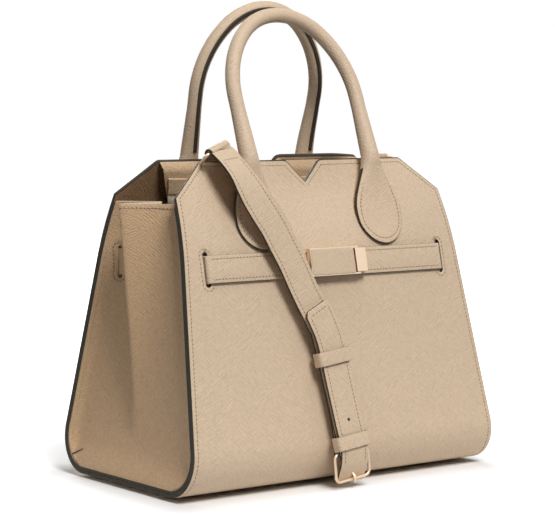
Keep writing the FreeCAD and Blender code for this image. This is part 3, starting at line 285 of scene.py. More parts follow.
# %% [markdown]
# ## Mesh helpers
# Each soft piece is a grid: an array of points by two parameters. Solidify gives it the leather's thickness and puts
# the edge paint on the rim, and a small bevel rounds the cut so that the paint shows as a thin line from the front,
# as painted edges do.


# %% Mesh helpers
PAINT = 1
WALLS, HANDS = (("front", -1), ("back", 1)), (("left", -1), ("right", 1))


def grid_faces(rows, cols, ring=False):
    """Quads between neighbouring grid points; a ring closes the columns."""
    index = np.arange(rows * cols).reshape(rows, cols)
    if ring:
        index = np.hstack([index, index[:, :1]])
    quads = [index[:-1, :-1], index[:-1, 1:], index[1:, 1:], index[1:, :-1]]
    return np.stack(quads, axis=-1).reshape(-1, 4)


def piece(name, points, faces, finishes, face_finish=None):
    """Mesh object from points in millimetres; doubles are merged and smooth shading is on."""
    mesh = bpy.data.meshes.new(name)
    mesh.from_pydata((np.asarray(points, float).reshape(-1, 3) * MM).tolist(), [], [list(f) for f in faces])
    for finish in finishes:
        mesh.materials.append(finish)
    if face_finish is not None:
        mesh.polygons.foreach_set("material_index", np.asarray(face_finish, np.int32))
    work = bmesh.new()
    work.from_mesh(mesh)
    bmesh.ops.remove_doubles(work, verts=work.verts, dist=1e-6)
    bmesh.ops.dissolve_degenerate(work, edges=work.edges, dist=1e-7)
    work.to_mesh(mesh)
    work.free()
    mesh.polygons.foreach_set("use_smooth", np.ones(len(mesh.polygons), bool))
    made = bpy.data.objects.new(name, mesh)
    scene.collection.objects.link(made)
    return made


def sheet(name, points, finishes, turn=False, face_finish=None):
    """Piece from a whole grid of points, with its faces turned over where asked."""
    faces = grid_faces(*points.shape[:2])
    return piece(name, points, faces[:, ::-1] if turn else faces, finishes, face_finish)


def hide_leather(made, thick, round_edge=0.45, both=0.0, inner=0):
    """Thickness inwards from the surface, painted rim, rounded cut; inner picks the inner face's finish."""
    wall = made.modifiers.new("thickness", "SOLIDIFY")
    wall.thickness = thick * MM
    wall.offset = -1.0 + both
    wall.use_even_offset = True
    wall.material_offset_rim = PAINT
    wall.material_offset = inner
    if round_edge:
        cut = made.modifiers.new("rounded_cut", "BEVEL")
        cut.width = round_edge * MM
        cut.segments = 3
        cut.limit_method = "ANGLE"
        cut.angle_limit = math.radians(50)
        cut.material = PAINT
        cut.use_clamp_overlap = False
    return made


def face_outwards(made, close=False):
    """Turn all faces of a closed shell outwards, after closing open ends where asked."""
    work = bmesh.new()
    work.from_mesh(made.data)
    if close:
        bmesh.ops.holes_fill(work, edges=work.edges, sides=0)
    bmesh.ops.recalc_face_normals(work, faces=work.faces)
    work.to_mesh(made.data)
    work.free()
    return made


def settle(made):
    """Apply the live modifiers to the mesh."""
    bpy.context.view_layer.update()
    baked = bpy.data.meshes.new_from_object(made.evaluated_get(bpy.context.evaluated_depsgraph_get()))
    made.modifiers.clear()
    made.data = baked
    return made


def on_body(made, body, slot, *nodes):
    """The piece rides on a body and stands for these CAD nodes."""
    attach(made, body)
    if nodes:
        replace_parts(made, *nodes)
    return made


def on_bag(made, slot, *nodes):
    """The piece rides on the bag itself."""
    return on_body(made, "bag", slot, *nodes)


print("mesh helpers ready")

# %% [markdown]
# ## The wrap
# Front, base and back are one strip of leather in side view: flat under the base, round at the corner, straight and
# leaning up to the belt, then bending inwards. Every sheet of the bag follows this line at its own depth, so the line
# is written once, by its arc length from the seam under the base.

# %% Wrap profile
FOOT = 3.0
LEAN = math.radians(12.4)
BASE_HALF, BASE_WIDTH, SHOULDER_WIDTH, TOP_WIDTH = 99.0, 300.0, 260.0, 198.0
SHOULDER_UP, TOP_UP = 222.0, 248.0
CORNER, BEND, BEND_UP = 30.0, 250.0, 168.0
PANEL = 3.0
NOTCH_HALF, NOTCH_DEEP = 16.5, 14.5
PERK, ROUND_TOP, ROUND_NOTCH = 2.6, 1.4, 1.2
SWELL, SWELL_HALF, WAVE, WAVE_ACROSS, WAVE_ALONG = 1.5, 140.0, 0.35, 37.0, 41.0
SAG, SAG_HALF, SAG_FROM = 6.5, 75.0, 178.0
FLAT_END = BASE_HALF - CORNER / math.tan((math.pi / 2 - LEAN) / 2)
SEAM_Y = FLAT_END - 11.7
CORNER_UP = CORNER + CORNER * math.sin(LEAN)
BEND_Y = BASE_HALF - math.tan(LEAN) * BEND_UP
BEND_CY, BEND_CZ = BEND_Y - BEND * math.cos(LEAN), BEND_UP - BEND * math.sin(LEAN)
RUN_FLAT = FLAT_END - SEAM_Y
RUN_CORNER = CORNER * (math.pi / 2 + LEAN)
RUN_SIDE = (BEND_UP - CORNER_UP) / math.cos(LEAN)


def run_of(up):
    """Arc length from the base seam at which the outer face is at a height."""
    up = np.asarray(up, float)
    round_part = RUN_FLAT + CORNER * (np.arcsin(np.clip((up - CORNER) / CORNER, -1, 1)) + math.pi / 2)
    side_part = RUN_FLAT + RUN_CORNER + (up - CORNER_UP) / math.cos(LEAN)
    bend_part = RUN_FLAT + RUN_CORNER + RUN_SIDE + BEND * (np.arcsin((up - BEND_CZ) / BEND) - LEAN)
    return np.where(up < CORNER_UP, round_part, np.where(up < BEND_UP, side_part, bend_part))


def profile(run):
    """Half depth, height and outward angle of the wrap at an arc length: flat, arc, line, arc."""
    run = np.asarray(run, float)
    turn = (run - RUN_FLAT) / CORNER - math.pi / 2
    side = run - RUN_FLAT - RUN_CORNER
    bend = LEAN + (side - RUN_SIDE) / BEND
    parts = [run < RUN_FLAT, run < RUN_FLAT + RUN_CORNER, side < RUN_SIDE]
    y = np.select(parts, [SEAM_Y + run, FLAT_END + CORNER * np.cos(turn),
                          FLAT_END + CORNER * math.cos(LEAN) - side * math.sin(LEAN)],
                  BEND_CY + BEND * np.cos(bend))
    z = np.select(parts, [0.0 * run, CORNER + CORNER * np.sin(turn), CORNER_UP + side * math.cos(LEAN)],
                  BEND_CZ + BEND * np.sin(bend))
    angle = np.select(parts, [0.0 * run - math.pi / 2, turn, 0.0 * run + LEAN], bend)
    return y, z, angle


def ease(share):
    """Smooth step from 0 to 1."""
    share = np.clip(share, 0, 1)
    return share * share * (3 - 2 * share)


def slack(x, run):
    """How far the leather gives outwards: a swell between base and belt, a hollow between the handle tabs."""
    share = np.clip((run - RUN_FLAT - 12) / (RUN_CORNER + RUN_SIDE - 60), 0, 1)
    waves = WAVE * np.sin(x / WAVE_ACROSS + 0.8) * np.sin(run / WAVE_ALONG) * np.sin(math.pi * share)
    swell = (SWELL * np.sin(math.pi * share) ** 2 + waves) * np.clip(1 - (x / SWELL_HALF) ** 2, 0, 1)
    above = np.clip((run - run_of(SAG_FROM)) / (run_of(TOP_UP) - run_of(SAG_FROM)), 0, 1)
    return swell - SAG * np.exp(-(x / SAG_HALF) ** 2) * np.sin(math.pi * above ** 1.5)


def on_wrap(x, run, side, lift=0.0):
    """Points on the slack wrap, lifted outwards along its normal; side is -1 for front, 1 for back."""
    y, z, angle = profile(run)
    lift = lift + slack(x, run)
    y = y + lift * np.cos(angle)
    z = z + lift * np.sin(angle)
    x, y, z = np.broadcast_arrays(x, side * y, z + FOOT)
    return np.stack([x, y, z], axis=-1)


def wrap_y(up):
    """Half depth of the outer face at a height."""
    return profile(run_of(up))[0]


def half_width(up):
    """Half width of the panels below the shoulders."""
    return BASE_WIDTH / 2 + (SHOULDER_WIDTH - BASE_WIDTH) / 2 * np.asarray(up) / SHOULDER_UP


def soft_min(first, second, blend):
    """Smaller of two heights with a rounded meeting."""
    gap = np.clip(0.5 + 0.5 * (second - first) / blend, 0, 1)
    return second * (1 - gap) + first * gap - blend * gap * (1 - gap)


def top_line(x, side=-1):
    """Height of the panel's top edge: flat, slanted shoulders, notch; one rear lobe stands up a little."""
    far = np.abs(x)
    perk = PERK * ease((x - 6) / 14) * (1 - ease((x - 70) / 50)) if side > 0 else 0.0
    fall = (TOP_UP - SHOULDER_UP) / ((SHOULDER_WIDTH - TOP_WIDTH) / 2)
    slanted = TOP_UP - (far - TOP_WIDTH / 2) * fall
    notch = TOP_UP - NOTCH_DEEP + far * NOTCH_DEEP / NOTCH_HALF
    flat = soft_min(slanted, TOP_UP + 0.0 * far, ROUND_TOP)
    return np.maximum(soft_min(flat, notch, ROUND_NOTCH) + perk, SHOULDER_UP)


print("wrap run %.1f mm from base seam to top edge" % run_of(TOP_UP))

# %% [markdown]
# ## Front and back panels
# A panel is a grid of columns across and rows along the wrap. Below the shoulders the columns spread with the width;
# above them they stand upright and end on the outline, so the notch and the slanted shoulders are clean cuts. A slack
# of a millimetre or two below the belt keeps it from looking like a plate.


# %% Panels
def spread(*stops):
    """Numbers through the stops, with a step count for each stretch."""
    parts = [np.linspace(a, b, n, endpoint=False) for (a, b, n) in stops]
    return np.concatenate(parts + [[stops[-1][1]]])


TOP_HALF, SHOULDER_HALF, BY_CORNER = TOP_WIDTH / 2, SHOULDER_WIDTH / 2, 4.0
HALF_COLUMNS = spread((0.0, NOTCH_HALF, 14), (NOTCH_HALF, TOP_HALF - BY_CORNER, 22),
                      (TOP_HALF - BY_CORNER, TOP_HALF + BY_CORNER, 8), (TOP_HALF + BY_CORNER, SHOULDER_HALF, 10))
COLUMNS = np.concatenate([-HALF_COLUMNS[:0:-1], HALF_COLUMNS])
PANEL_BLOCK, PAINTED = SHOULDER_UP - 30.0, 0.9


def panel_points(side, rows=58, top_rows=18):
    """Grid of a panel: even rows up to below the shoulders, then rows that end on the outline in each column."""
    low = np.linspace(0.0, run_of(PANEL_BLOCK), rows)[:, None] + 0 * COLUMNS
    outline = top_line(COLUMNS, side)
    rise = np.linspace(0, 1, top_rows + 1)[1:, None]
    high = np.vstack([PANEL_BLOCK + rise * (outline - PAINTED - PANEL_BLOCK), outline])
    up = np.vstack([profile(low)[1], high])
    x = COLUMNS / SHOULDER_HALF * half_width(np.minimum(up, SHOULDER_UP))
    return on_wrap(x, np.vstack([low, run_of(high)]), side)


def panel(name, side):
    """Leather panel with painted edges; the last row of faces is painted too."""
    points = panel_points(side)
    row = np.arange(len(points) - 1).repeat(len(COLUMNS) - 1)
    # The inner face takes the darker inner leather: the flesh side's tone with painted shade.
    finishes = [panel_leather, edge_paint, flesh_and_shade_leather] + [edge_paint] * 3
    made = sheet(name, points, finishes, side > 0, 3 * (row == row[-1]))
    return hide_leather(made, PANEL, inner=2)


front = panel("front_panel_leather", -1)
back = panel("back_panel_leather", 1)
print("panels:", len(front.data.polygons), "faces each")

# %% Slots for the belt in the front panel
BELT_UP = 168.0
SLOT_X = float(half_width(BELT_UP)) - 20.0
SLOT_HALF, SLOT_REACH = 2.4, 10.6


def slot_ring(count, spare=0.0, endpoint=True):
    """Across and up of a slot's outline, or of a ring a little outside it: two half circles set apart."""
    angle = np.linspace(0, 2 * math.pi, count, endpoint=endpoint)
    half = SLOT_HALF + spare
    return half * np.cos(angle), half * np.sin(angle) + np.where(np.sin(angle) >= 0, SLOT_REACH, -SLOT_REACH)


def slot_cutter(centre, across, through, half, count=32):
    """Upright prism with round ends: the slot's outline carried along a direction."""
    over, rise = slot_ring(count, endpoint=False)
    ring = np.array(centre) + np.outer(over, across) + np.outer(rise, (0, 0, 1.0))
    points = np.stack([ring - half * np.array(through), ring + half * np.array(through)])
    faces = [*grid_faces(2, count, ring=True), range(count), range(2 * count - 1, count - 1, -1)]
    return face_outwards(piece("slot_cutter", points, faces, [edge_paint] * 2, np.full(len(faces), PAINT)))


def cut_slot(made, centre, across, through, half=14.0):
    """Cut a painted slot through a piece."""
    cutter = slot_cutter(centre, across, through, half)
    cut = made.modifiers.new("belt_slot", "BOOLEAN")
    cut.object, cut.operation, cut.solver, cut.material_mode = cutter, "DIFFERENCE", "EXACT", "INDEX"
    settle(made)
    bpy.data.objects.remove(cutter)
    return made


for sign in (-1, 1):
    cut_slot(front, (sign * SLOT_X, -float(wrap_y(BELT_UP)), FOOT + BELT_UP), (1.0, 0, 0), (0, 1.0, 0))
on_bag(front, "leather", "front_panel")
on_bag(back, "leather", "back_panel")
print("front panel with slots:", len(front.data.polygons), "faces")

# %% [markdown]
# ## Base, facings and linings
# The base is a flat sheet between the two seams. Inside, a leather facing backs the top of each panel and cloth
# covers the rest, each at its own depth behind the panel.

# %% Base and inside
CLOTH, FACING, BOARD, WASHER, SEAM_GAP = 0.8, 1.2, 2.0, 1.0, 0.1
INNER, FACING_LOW, FACING_HALF = PANEL + SEAM_GAP, TOP_UP - 58.0, {-1: 117.0, 1: TOP_HALF}
FALL_OVER, FALL_NARROWS, FALL_IN = 30.0, 0.14, 5.8
LINING_LEVEL = FOOT + PANEL + BOARD + WASHER + 3 * SEAM_GAP


def flat_sheet(name, half_x, half_y, level, finishes):
    """Level rectangle as a grid, facing down."""
    x, y = np.meshgrid(np.linspace(-half_x, half_x, 40), np.linspace(-half_y, half_y, 16))
    points = np.stack([x, y, np.full_like(x, level)], -1)
    return sheet(name, points, finishes, True)


base = flat_sheet("base_leather", BASE_WIDTH / 2, SEAM_Y - 0.1, FOOT, [panel_leather, edge_paint])
on_bag(hide_leather(base, PANEL), "leather", "base_panel")
floor_lining = flat_sheet("base_lining_cloth", 137.0, FLAT_END - 7.7, LINING_LEVEL, [lining_cloth] * 2)
on_bag(hide_leather(floor_lining, CLOTH, 0), "lining", "base_lining")


def facing(name, side, node):
    """Leather behind the top edge, cut to the same outline between the gussets; the rear one falls away inwards."""
    columns = COLUMNS[np.abs(COLUMNS) <= FACING_HALF[side]]
    rise = np.linspace(0, 1, 24)[:, None]
    up = FACING_LOW + rise * (top_line(columns, side) - 0.4 - FACING_LOW)
    fall = np.clip((TOP_UP - up) / FALL_OVER, 0, 1) * (side > 0)
    points = on_wrap(columns * (1 - FALL_NARROWS * fall), run_of(up), side, -INNER - FALL_IN * ease(fall * 8))
    made = sheet(name, points, [facing_leather, edge_paint], side > 0)
    return on_bag(hide_leather(made, FACING, 0.3), "leather", node)


def wall_lining(name, side, node):
    """Cloth from the base up to the facing."""
    run = np.linspace(FLAT_END - 6.7 - SEAM_Y, run_of(FACING_LOW - 0.3), 40)[:, None]
    x = np.linspace(-1, 1, 40) * (half_width(profile(run)[1]) - 12.0)
    points = on_wrap(x, run + 0 * x, side, -INNER)
    made = sheet(name, points, [lining_cloth] * 2, side > 0)
    return on_bag(hide_leather(made, CLOTH, 0), "lining", node)


for wall, side in WALLS:
    facing(wall + "_facing_leather", side, wall + "_facing")
    wall_lining(wall + "_lining_cloth", side, wall + "_lining")
print("base, facings and linings made")

# %% Inner pocket
POCKET_LOW, POCKET_SEAM, POCKET_TOP, POCKET_IN, POCKET_HALF = 127.9, 226.3, 239.0, 10.4, 92.0


def pocket_sheet(name, low, high, thick, finish, slot, node, edge):
    """Sheet parallel to the back wall, bowed a little in the middle."""
    up = np.linspace(low, high, 16)[:, None]
    x = np.linspace(-1.0, 1.0, 40) * np.interp(up, [POCKET_LOW, 219.0, 245.0], [POCKET_HALF, 86.0, 93.0])
    bow = 1.2 * (1 - (x / POCKET_HALF) ** 2)
    points = on_wrap(x, run_of(up) + 0 * x, 1, -POCKET_IN - bow)
    made = sheet(name, points, [finish] * 2, True)
    return on_bag(hide_leather(made, thick, edge), slot, node)


# The trim's paler leather is painted light against the shade inside the bag.
pocket_sheet("pocket_trim_leather", POCKET_SEAM + SEAM_GAP, POCKET_TOP, 1.6, trim_painted_light_leather, "leather",
             "inner_pocket_trim", 0.3)
pocket_sheet("pocket_cloth", POCKET_LOW, POCKET_SEAM - SEAM_GAP, CLOTH, lining_cloth, "lining",
             "inner_pocket_panel", 0)
print("pocket made")

# %% [markdown]
# ## Gussets
# A gusset is one piece of leather: a flange sewn round the whole side seam and a web that folds inwards, so that the
# bag can close. Its plan at any height is a zigzag from the back edge to an inner crease, out to a ridge and back to
# the front edge. The zigzag is smoothed by a weighted mean along the line, which turns sharp folds into rolled ones,
# and the fold fades to nothing near the base.

# %% Gussets
GUSSET_TOP, PLEAT_LOW, WEB_LOW, WEB_IN = SHOULDER_UP - 6.0, 32.0, 3.2, 5.7
PLEAT_OUT, PLEAT_IN, CREASE_Y, RIDGE_Y = 29.5, 19.0, 14.0, 2.0
DISH, HOLLOW, RIM_IN = 5.0, 8.5, 0.7
FLANGE, FLANGE_THICK, WEB = 7.0, 2.2, 1.8
WEB_COLUMNS = 97
REAR_SLOT, PLEAT_SLOT = (125.5, 42.0), (119.8, 8.0)


def mirrored(sign):
    """Factors that turn the left side's points into those of a side."""
    return np.array([-sign, 1, 1])


def depth_y(up, depth):
    """Half depth of the wrap at a depth behind its outer face, at the same height."""
    y, _, angle = profile(run_of(up))
    return y - depth / np.cos(angle)


def web_points(inside, low, top=GUSSET_TOP):
    """Grid of the left web: six plan corners at each height, filled evenly, smoothed, moved inwards."""
    up = np.linspace(low, top, 60)
    share = np.clip((up - PLEAT_LOW) / (GUSSET_TOP - PLEAT_LOW), 0.0, 1)
    ridge = share + 0.02 * np.sin(math.pi * share)
    rim = RIM_IN - half_width(up)
    grow = 0.01 + ease((up - 4) / 22)
    edge = rim + (FLANGE - RIM_IN) * grow
    inner = CORNER - WEB_IN
    drop = np.minimum(inner, CORNER - np.minimum(up, CORNER))
    reach = np.where(up > CORNER_UP, depth_y(np.maximum(up, CORNER_UP), WEB_IN),
                     FLAT_END + np.sqrt(inner ** 2 - drop ** 2))
    dish = DISH * (1 - share) * np.clip((up - 12) / 30, 0, 1)
    fold = reach - 2.5 * grow
    corners_x = np.stack([rim, edge, edge + PLEAT_IN * share + dish, edge - PLEAT_OUT * ridge + dish,
                          edge + 4 * share, rim], -1)
    corners_y = np.stack([reach, fold - 4.0 * grow, 0 * up + CREASE_Y, 0 * up + RIDGE_Y, -fold, -reach], -1)
    legs = np.hypot(np.diff(corners_x), np.diff(corners_y))
    along = np.concatenate([np.zeros((len(up), 1)), np.cumsum(legs, 1)], 1)
    along = along / along[:, -1:]
    fill = np.linspace(0, 1, WEB_COLUMNS)
    leg = np.clip((fill[None, :, None] >= along[:, None, 1:]).sum(-1), 0, 4)
    rows = np.arange(len(up))[:, None]
    part = (fill - along[rows, leg]) / (along[rows, leg + 1] - along[rows, leg])
    x, y = [corners[rows, leg] + part * (corners[rows, leg + 1] - corners[rows, leg])
            for corners in (corners_x, corners_y)]
    hollow = HOLLOW * (0.3 + 0.7 * share[:, None]) * ease((up[:, None] - 14) / 40)
    x = x + np.where(leg == 3, hollow * np.sin(math.pi * np.clip(part, 0, 1) ** 0.8), 0.0)
    place = np.arange(WEB_COLUMNS)
    wide = 1.5 * np.clip(np.minimum(place, place[::-1]) / 6.0, 0.05, 1)[:, None]
    weight = np.exp(-0.5 * ((place[:, None] - place) / wide) ** 2)
    weight = weight / weight.sum(1, keepdims=True)
    x, y = x @ weight.T, y @ weight.T
    return np.stack([x + inside, y, up[:, None] + FOOT + 0 * x], -1)


def gusset_web(name, sign, inside, low, thick, finishes, slot, node, edge):
    """Web or lining on one side, with its two belt slots; the right one is the left one mirrored."""
    points = web_points(inside, low) * mirrored(sign)
    made = sheet(name, points, finishes, sign > 0)
    hide_leather(made, thick, edge, both=1.0 if slot == "leather" else 0.0)
    side_on, front_on = (0, 1.0, 0), (1.0, 0, 0)
    for (x, y), across, through in ((REAR_SLOT, side_on, front_on), (PLEAT_SLOT, front_on, side_on)):
        cut_slot(made, (sign * x, y, FOOT + BELT_UP), across, through, 9.0)
    return on_bag(made, slot, node)


def gusset_flange(name, sign):
    """Strip along the inner face of the wrap, right round from the front top to the back top."""
    down = np.linspace(run_of(GUSSET_TOP), 0.0, 71)
    run = np.concatenate([down, down[-2::-1]])
    side = np.where(np.arange(len(run)) < len(down), -1, 1)
    y, z, angle = profile(run)
    x = half_width(z)[:, None] - np.linspace(0, 1, 5) * (FLANGE + 2.0)
    y, z = side * (y - INNER * np.cos(angle)), z - INNER * np.sin(angle) + FOOT
    points = np.stack([sign * x, y[:, None] + 0 * x, z[:, None] + 0 * x], -1)
    made = sheet(name, points, [gusset_shaded_leather, edge_paint], sign < 0)
    return on_bag(hide_leather(made, FLANGE_THICK, 0.4), "leather")


for hand, sign in HANDS:
    # Web and flange take the darker gusset tone, which is painted shade.
    gusset_web(hand + "_gusset_web", sign, 0.0, WEB_LOW, WEB, [gusset_shaded_leather, cut_edge], "leather",
               hand + "_gusset", 0.3)
    gusset_flange(hand + "_gusset_flange", sign)
    gusset_web(hand + "_gusset_lining_cloth", sign, 1.2, 8.0, CLOTH, [lining_cloth] * 2, "lining",
               hand + "_gusset_lining", 0)
print("gussets made")

# %% [markdown]
# ## Swept strips
# Straps, belts and keepers are flat strips: a rounded oblong carried along a path. The path is a smooth curve through
# a few places, and the strip's flat side is set by directions given along it. Narrow sides and ends are painted.


# %% Strip helpers
def unit(vectors):
    """Vectors of length one."""
    return vectors / np.linalg.norm(vectors, axis=-1, keepdims=True)


def smooth_path(places, count):
    """Curve through the places: cubic pieces whose end slopes follow the neighbours, evenly resampled."""
    places = np.asarray(places, float)
    padded = np.vstack([2 * places[0] - places[1], places, 2 * places[-1] - places[-2]])
    before, start, end, after = padded[:-3], padded[1:-2], padded[2:-1], padded[3:]
    share = np.linspace(0, 1, 24, endpoint=False)[None, :, None]
    slope_a, slope_b = (end - before)[:, None] / 2, (after - start)[:, None] / 2
    start, end = start[:, None], end[:, None]
    cubic = ((2 * share ** 3 - 3 * share ** 2 + 1) * start + (share ** 3 - 2 * share ** 2 + share) * slope_a
             + (-2 * share ** 3 + 3 * share ** 2) * end + (share ** 3 - share ** 2) * slope_b)
    return even(np.vstack([cubic.reshape(-1, 3), places[-1:]]), count)


def lengths(line):
    """Length along a line up to each of its points."""
    return np.concatenate([[0], np.cumsum(np.linalg.norm(np.diff(line, axis=0), axis=1))])


def read(where, places, values):
    """Vectors at some places, read between those that are given."""
    return np.stack([np.interp(where, places, values[:, axis]) for axis in range(3)], -1)


def even(line, count):
    """The same line with evenly spaced points."""
    length = lengths(line)
    return read(np.linspace(0, length[-1], count), length, line)


def along_of(path):
    """Directions along a path."""
    return unit(np.gradient(path, axis=0))


def square_to(vectors, along):
    """Unit vectors with what lies along a direction taken out."""
    return unit(vectors - along * (vectors * along).sum(-1, keepdims=True))


def oblong(corner, per_corner=5):
    """Unit oblong with round corners, as across and outward shares; corner is its radius as shares."""
    angle = np.concatenate([np.linspace(q, q + math.pi / 2, per_corner) for q in np.arange(4) * math.pi / 2])
    quarter = np.repeat([[1, 1], [-1, 1], [-1, -1], [1, -1]], per_corner, axis=0)
    return quarter * (1 - np.array(corner)) + np.stack([np.cos(angle), np.sin(angle)], -1) * np.array(corner)


def strip(name, path, across, outward, width, thick, finishes, closed=False, scale=1.0):
    """Rounded oblong carried along a path; the narrow sides and the ends take the second finish."""
    half = np.broadcast_to(width / 2 * scale, len(path))
    ring = oblong((min(0.9, thick * 0.4 / (width / 2)), 0.8))
    points = (path[:, None] + across[:, None] * (ring[None, :, :1] * half[:, None, None])
              + outward[:, None] * (ring[None, :, 1:] * thick / 2))
    if closed:
        points = np.concatenate([points, points[:1]], 0)
    rows, cols = points.shape[:2]
    column = np.tile(np.arange(cols), rows - 1)
    height = np.abs(ring[column, 1] + ring[(column + 1) % cols, 1]) / 2
    flat = np.abs(ring[column, 0] - ring[(column + 1) % cols, 0]) > 0.5
    faces, paint = list(grid_faces(rows, cols, ring=True)), list((height < 0.75) & ~flat)
    if not closed:
        faces += [np.arange(cols)[::-1], np.arange(cols) + (rows - 1) * cols]
        paint += [PAINT, PAINT]
    return face_outwards(piece(name, points, faces, finishes, paint))


def level_frame(path, reference=(1.0, 0.0, 0.0)):
    """Directions along a path: across is the reference made square to the path, outward is square to both."""
    along = along_of(path)
    across = square_to(np.asarray(reference), along)
    return along, across, np.cross(along, across)


print("strip helpers ready")

# %% [markdown]
# ## Stitches
# Saddle stitching is a row of short thread ends, each dipping into a needle hole. One stitch is a small rounded bar
# of a few faces, repeated along a line by whole-array arithmetic, with a dark dot of painted hole shade between
# neighbours.

# %% Stitch helper
STITCH_PITCH, STITCH_LONG, STITCH_WIDE, STITCH_STEP = 3.1, 2.3, 0.72, 0.4
stitch_rows = []


def stitch_bar():
    """Low half-round bar along x: four rings of five points that narrow at the ends."""
    station = np.array([-0.5, -0.32, 0.32, 0.5])
    girth = np.array([0.35, 1.0, 1.0, 0.35])[:, None] * STITCH_WIDE / 2
    angle = np.linspace(0, math.pi, 5)
    y, z = np.cos(angle) * girth, np.sin(angle) * girth - 0.1
    x = np.broadcast_to(station[:, None] * STITCH_LONG, y.shape)
    return np.stack([x, y, z], -1).reshape(-1, 3), grid_faces(4, 5)[:, ::-1]


def hole_shade_dot():
    """Small flat eight-sided dot: painted shade of a needle hole."""
    angle = np.linspace(0, 2 * math.pi, 8, endpoint=False)
    dot = np.stack([0.5 * np.cos(angle), 0.58 * np.sin(angle), 0 * angle + 0.05], -1)
    return dot, np.array([np.arange(8)])


def repeat(shape, faces, spots, along, outward):
    """Copies of a small shape at spots turned to the row's directions."""
    side = np.cross(outward, along)
    points = (spots[:, None] + shape[None, :, :1] * along[:, None] + shape[None, :, 1:2] * side[:, None]
              + shape[None, :, 2:] * outward[:, None])
    index = faces[None] + (np.arange(len(spots)) * len(shape))[:, None, None]
    return points.reshape(-1, 3), index.reshape(-1, faces.shape[1])


def stitch_line(line, outward, dots=True):
    """Record a row of stitches along a line of points with outward directions, with dark dots of painted hole shade
    if dots is set.
    """
    length = lengths(line)
    count = max(2, int(round(length[-1] / STITCH_PITCH)))
    pitch = length[-1] / count
    for key, where in (("bar", (np.arange(count) + 0.5) * pitch), ("dot", np.arange(1, count) * pitch))[:1 + dots]:
        ahead, behind = np.minimum(where + STITCH_STEP, length[-1]), np.maximum(where - STITCH_STEP, 0)
        along = unit(read(ahead, length, line) - read(behind, length, line))
        stitch_rows.append((key, read(where, length, line), along, square_to(read(where, length, outward), along)))


def sew_strip(path, across, outward, inset, lift, shown, end=True):
    """Rows along both edges of a strip, an inset from its middle, and one across where it starts to show."""
    inset = np.broadcast_to(inset, len(path))[:, None]
    for edge in (-1, 1):
        stitch_line((path + across * (edge * inset) + outward * lift)[shown], outward[shown])
    if end:
        start = np.argmax(shown)
        over = np.linspace(-1, 1, 20)[:, None] * across[start] * inset[start]
        stitch_line(path[start] + outward[start] * lift + over, np.repeat(outward[start:start + 1], 20, 0))


print("stitch bar:", len(stitch_bar()[1]), "faces")

# %% [markdown]
# ## Stitching on the panels
# A row runs just inside every panel edge and round the belt slots. The row is drawn in the flat, as width across and
# run along the wrap, and then lifted onto the panel.

# %% Panel stitches
SEW_IN, SLOT_SEW_IN, SLOT_POINTS = 3.6, 2.6, 60


def flat_row(corners, count=400):
    """Evenly filled flat polyline through corners of (across, run)."""
    return even(np.array([(x, run, 0.0) for x, run in corners], float), count)[:, :2]


def sew_panel(side, corners):
    """Lift a flat row onto a panel and sew it."""
    x, run = flat_row(corners).T
    line = on_wrap(x, run, side)
    stitch_line(line, on_wrap(x, run, side, 1.0) - line)


def panel_row(side):
    """Row inside the whole outline of a panel."""
    edge = [(half_width(up) - SEW_IN, run_of(up)) for up in (3.0, 40.0, 100.0, SHOULDER_UP - 1.0)]
    top = np.array([TOP_HALF - 1.4, 80.0, 60.0, 40.0, NOTCH_HALF + 1.6])
    under = np.maximum(top, NOTCH_HALF + 4) * [0.96, 1, 1, 1, 1]
    bottom = [(0.0, run_of(TOP_UP - NOTCH_DEEP - SEW_IN - 0.6))]
    for sign in (-1, 1):
        lobe = list(zip(sign * top, run_of(top_line(sign * under, side) - SEW_IN)))
        sew_panel(side, [(sign * x, run) for x, run in edge] + lobe + bottom)


for side in (-1, 1):
    panel_row(side)
slot_over, slot_rise = slot_ring(SLOT_POINTS, SLOT_SEW_IN)
for sign in (-1, 1):
    sew_panel(-1, np.stack([sign * (SLOT_X - slot_over), run_of(BELT_UP + slot_rise)], -1))
print("panel stitch rows:", len(stitch_rows))

# %% Gusset stitches, and painted shade in the dart creases
WEB_FACE = web_points(-WEB / 2 - 0.3, WEB_LOW)
WEB_LEVELS = WEB_FACE[:, 0, 2] - FOOT
WEB_THREAD_LIFT = 0.22
WEB_SEAMS = ((2, (-0.66, -0.75, 0.0)), (WEB_COLUMNS - 3, (-0.32, 0.95, 0.0)))


def web_spot(up, y):
    """Points on the outer face of the left web at heights and depths, read between the web's own grid points."""
    row = np.clip(np.searchsorted(WEB_LEVELS, up) - 1, 0, len(WEB_LEVELS) - 2)
    share = ((up - WEB_LEVELS[row]) / (WEB_LEVELS[row + 1] - WEB_LEVELS[row]))[:, None, None]
    line = WEB_FACE[row] * (1 - share) + WEB_FACE[row + 1] * share
    column = np.clip((line[..., 1] > y[:, None]).sum(1) - 1, 4, WEB_COLUMNS - 6)
    pick = np.arange(len(y))
    before, after = line[pick, column], line[pick, column + 1]
    return before + (after - before) * np.clip((y - before[:, 1]) / (after[:, 1] - before[:, 1]), 0, 1)[:, None]


def grid_spot(up, column):
    """Points on the outer face of the left web at heights and grid columns, read between four grid points."""
    row = np.interp(up, WEB_LEVELS, np.arange(len(WEB_LEVELS)))
    low_row, low_column = np.floor(row).astype(int), np.floor(column).astype(int)
    rise, over = (row - low_row)[:, None], (column - low_column)[:, None]
    under, above = [WEB_FACE[line, low_column] * (1 - over) + WEB_FACE[line, low_column + 1] * over
                    for line in (low_row, low_row + 1)]
    return under * (1 - rise) + above * rise


def face_of(spot, low, next_to):
    """Outward directions of the left web, square to a step down and a step along it."""
    outward = unit(np.cross(low - spot, next_to - spot))
    return outward * -np.sign(outward[:, :1])


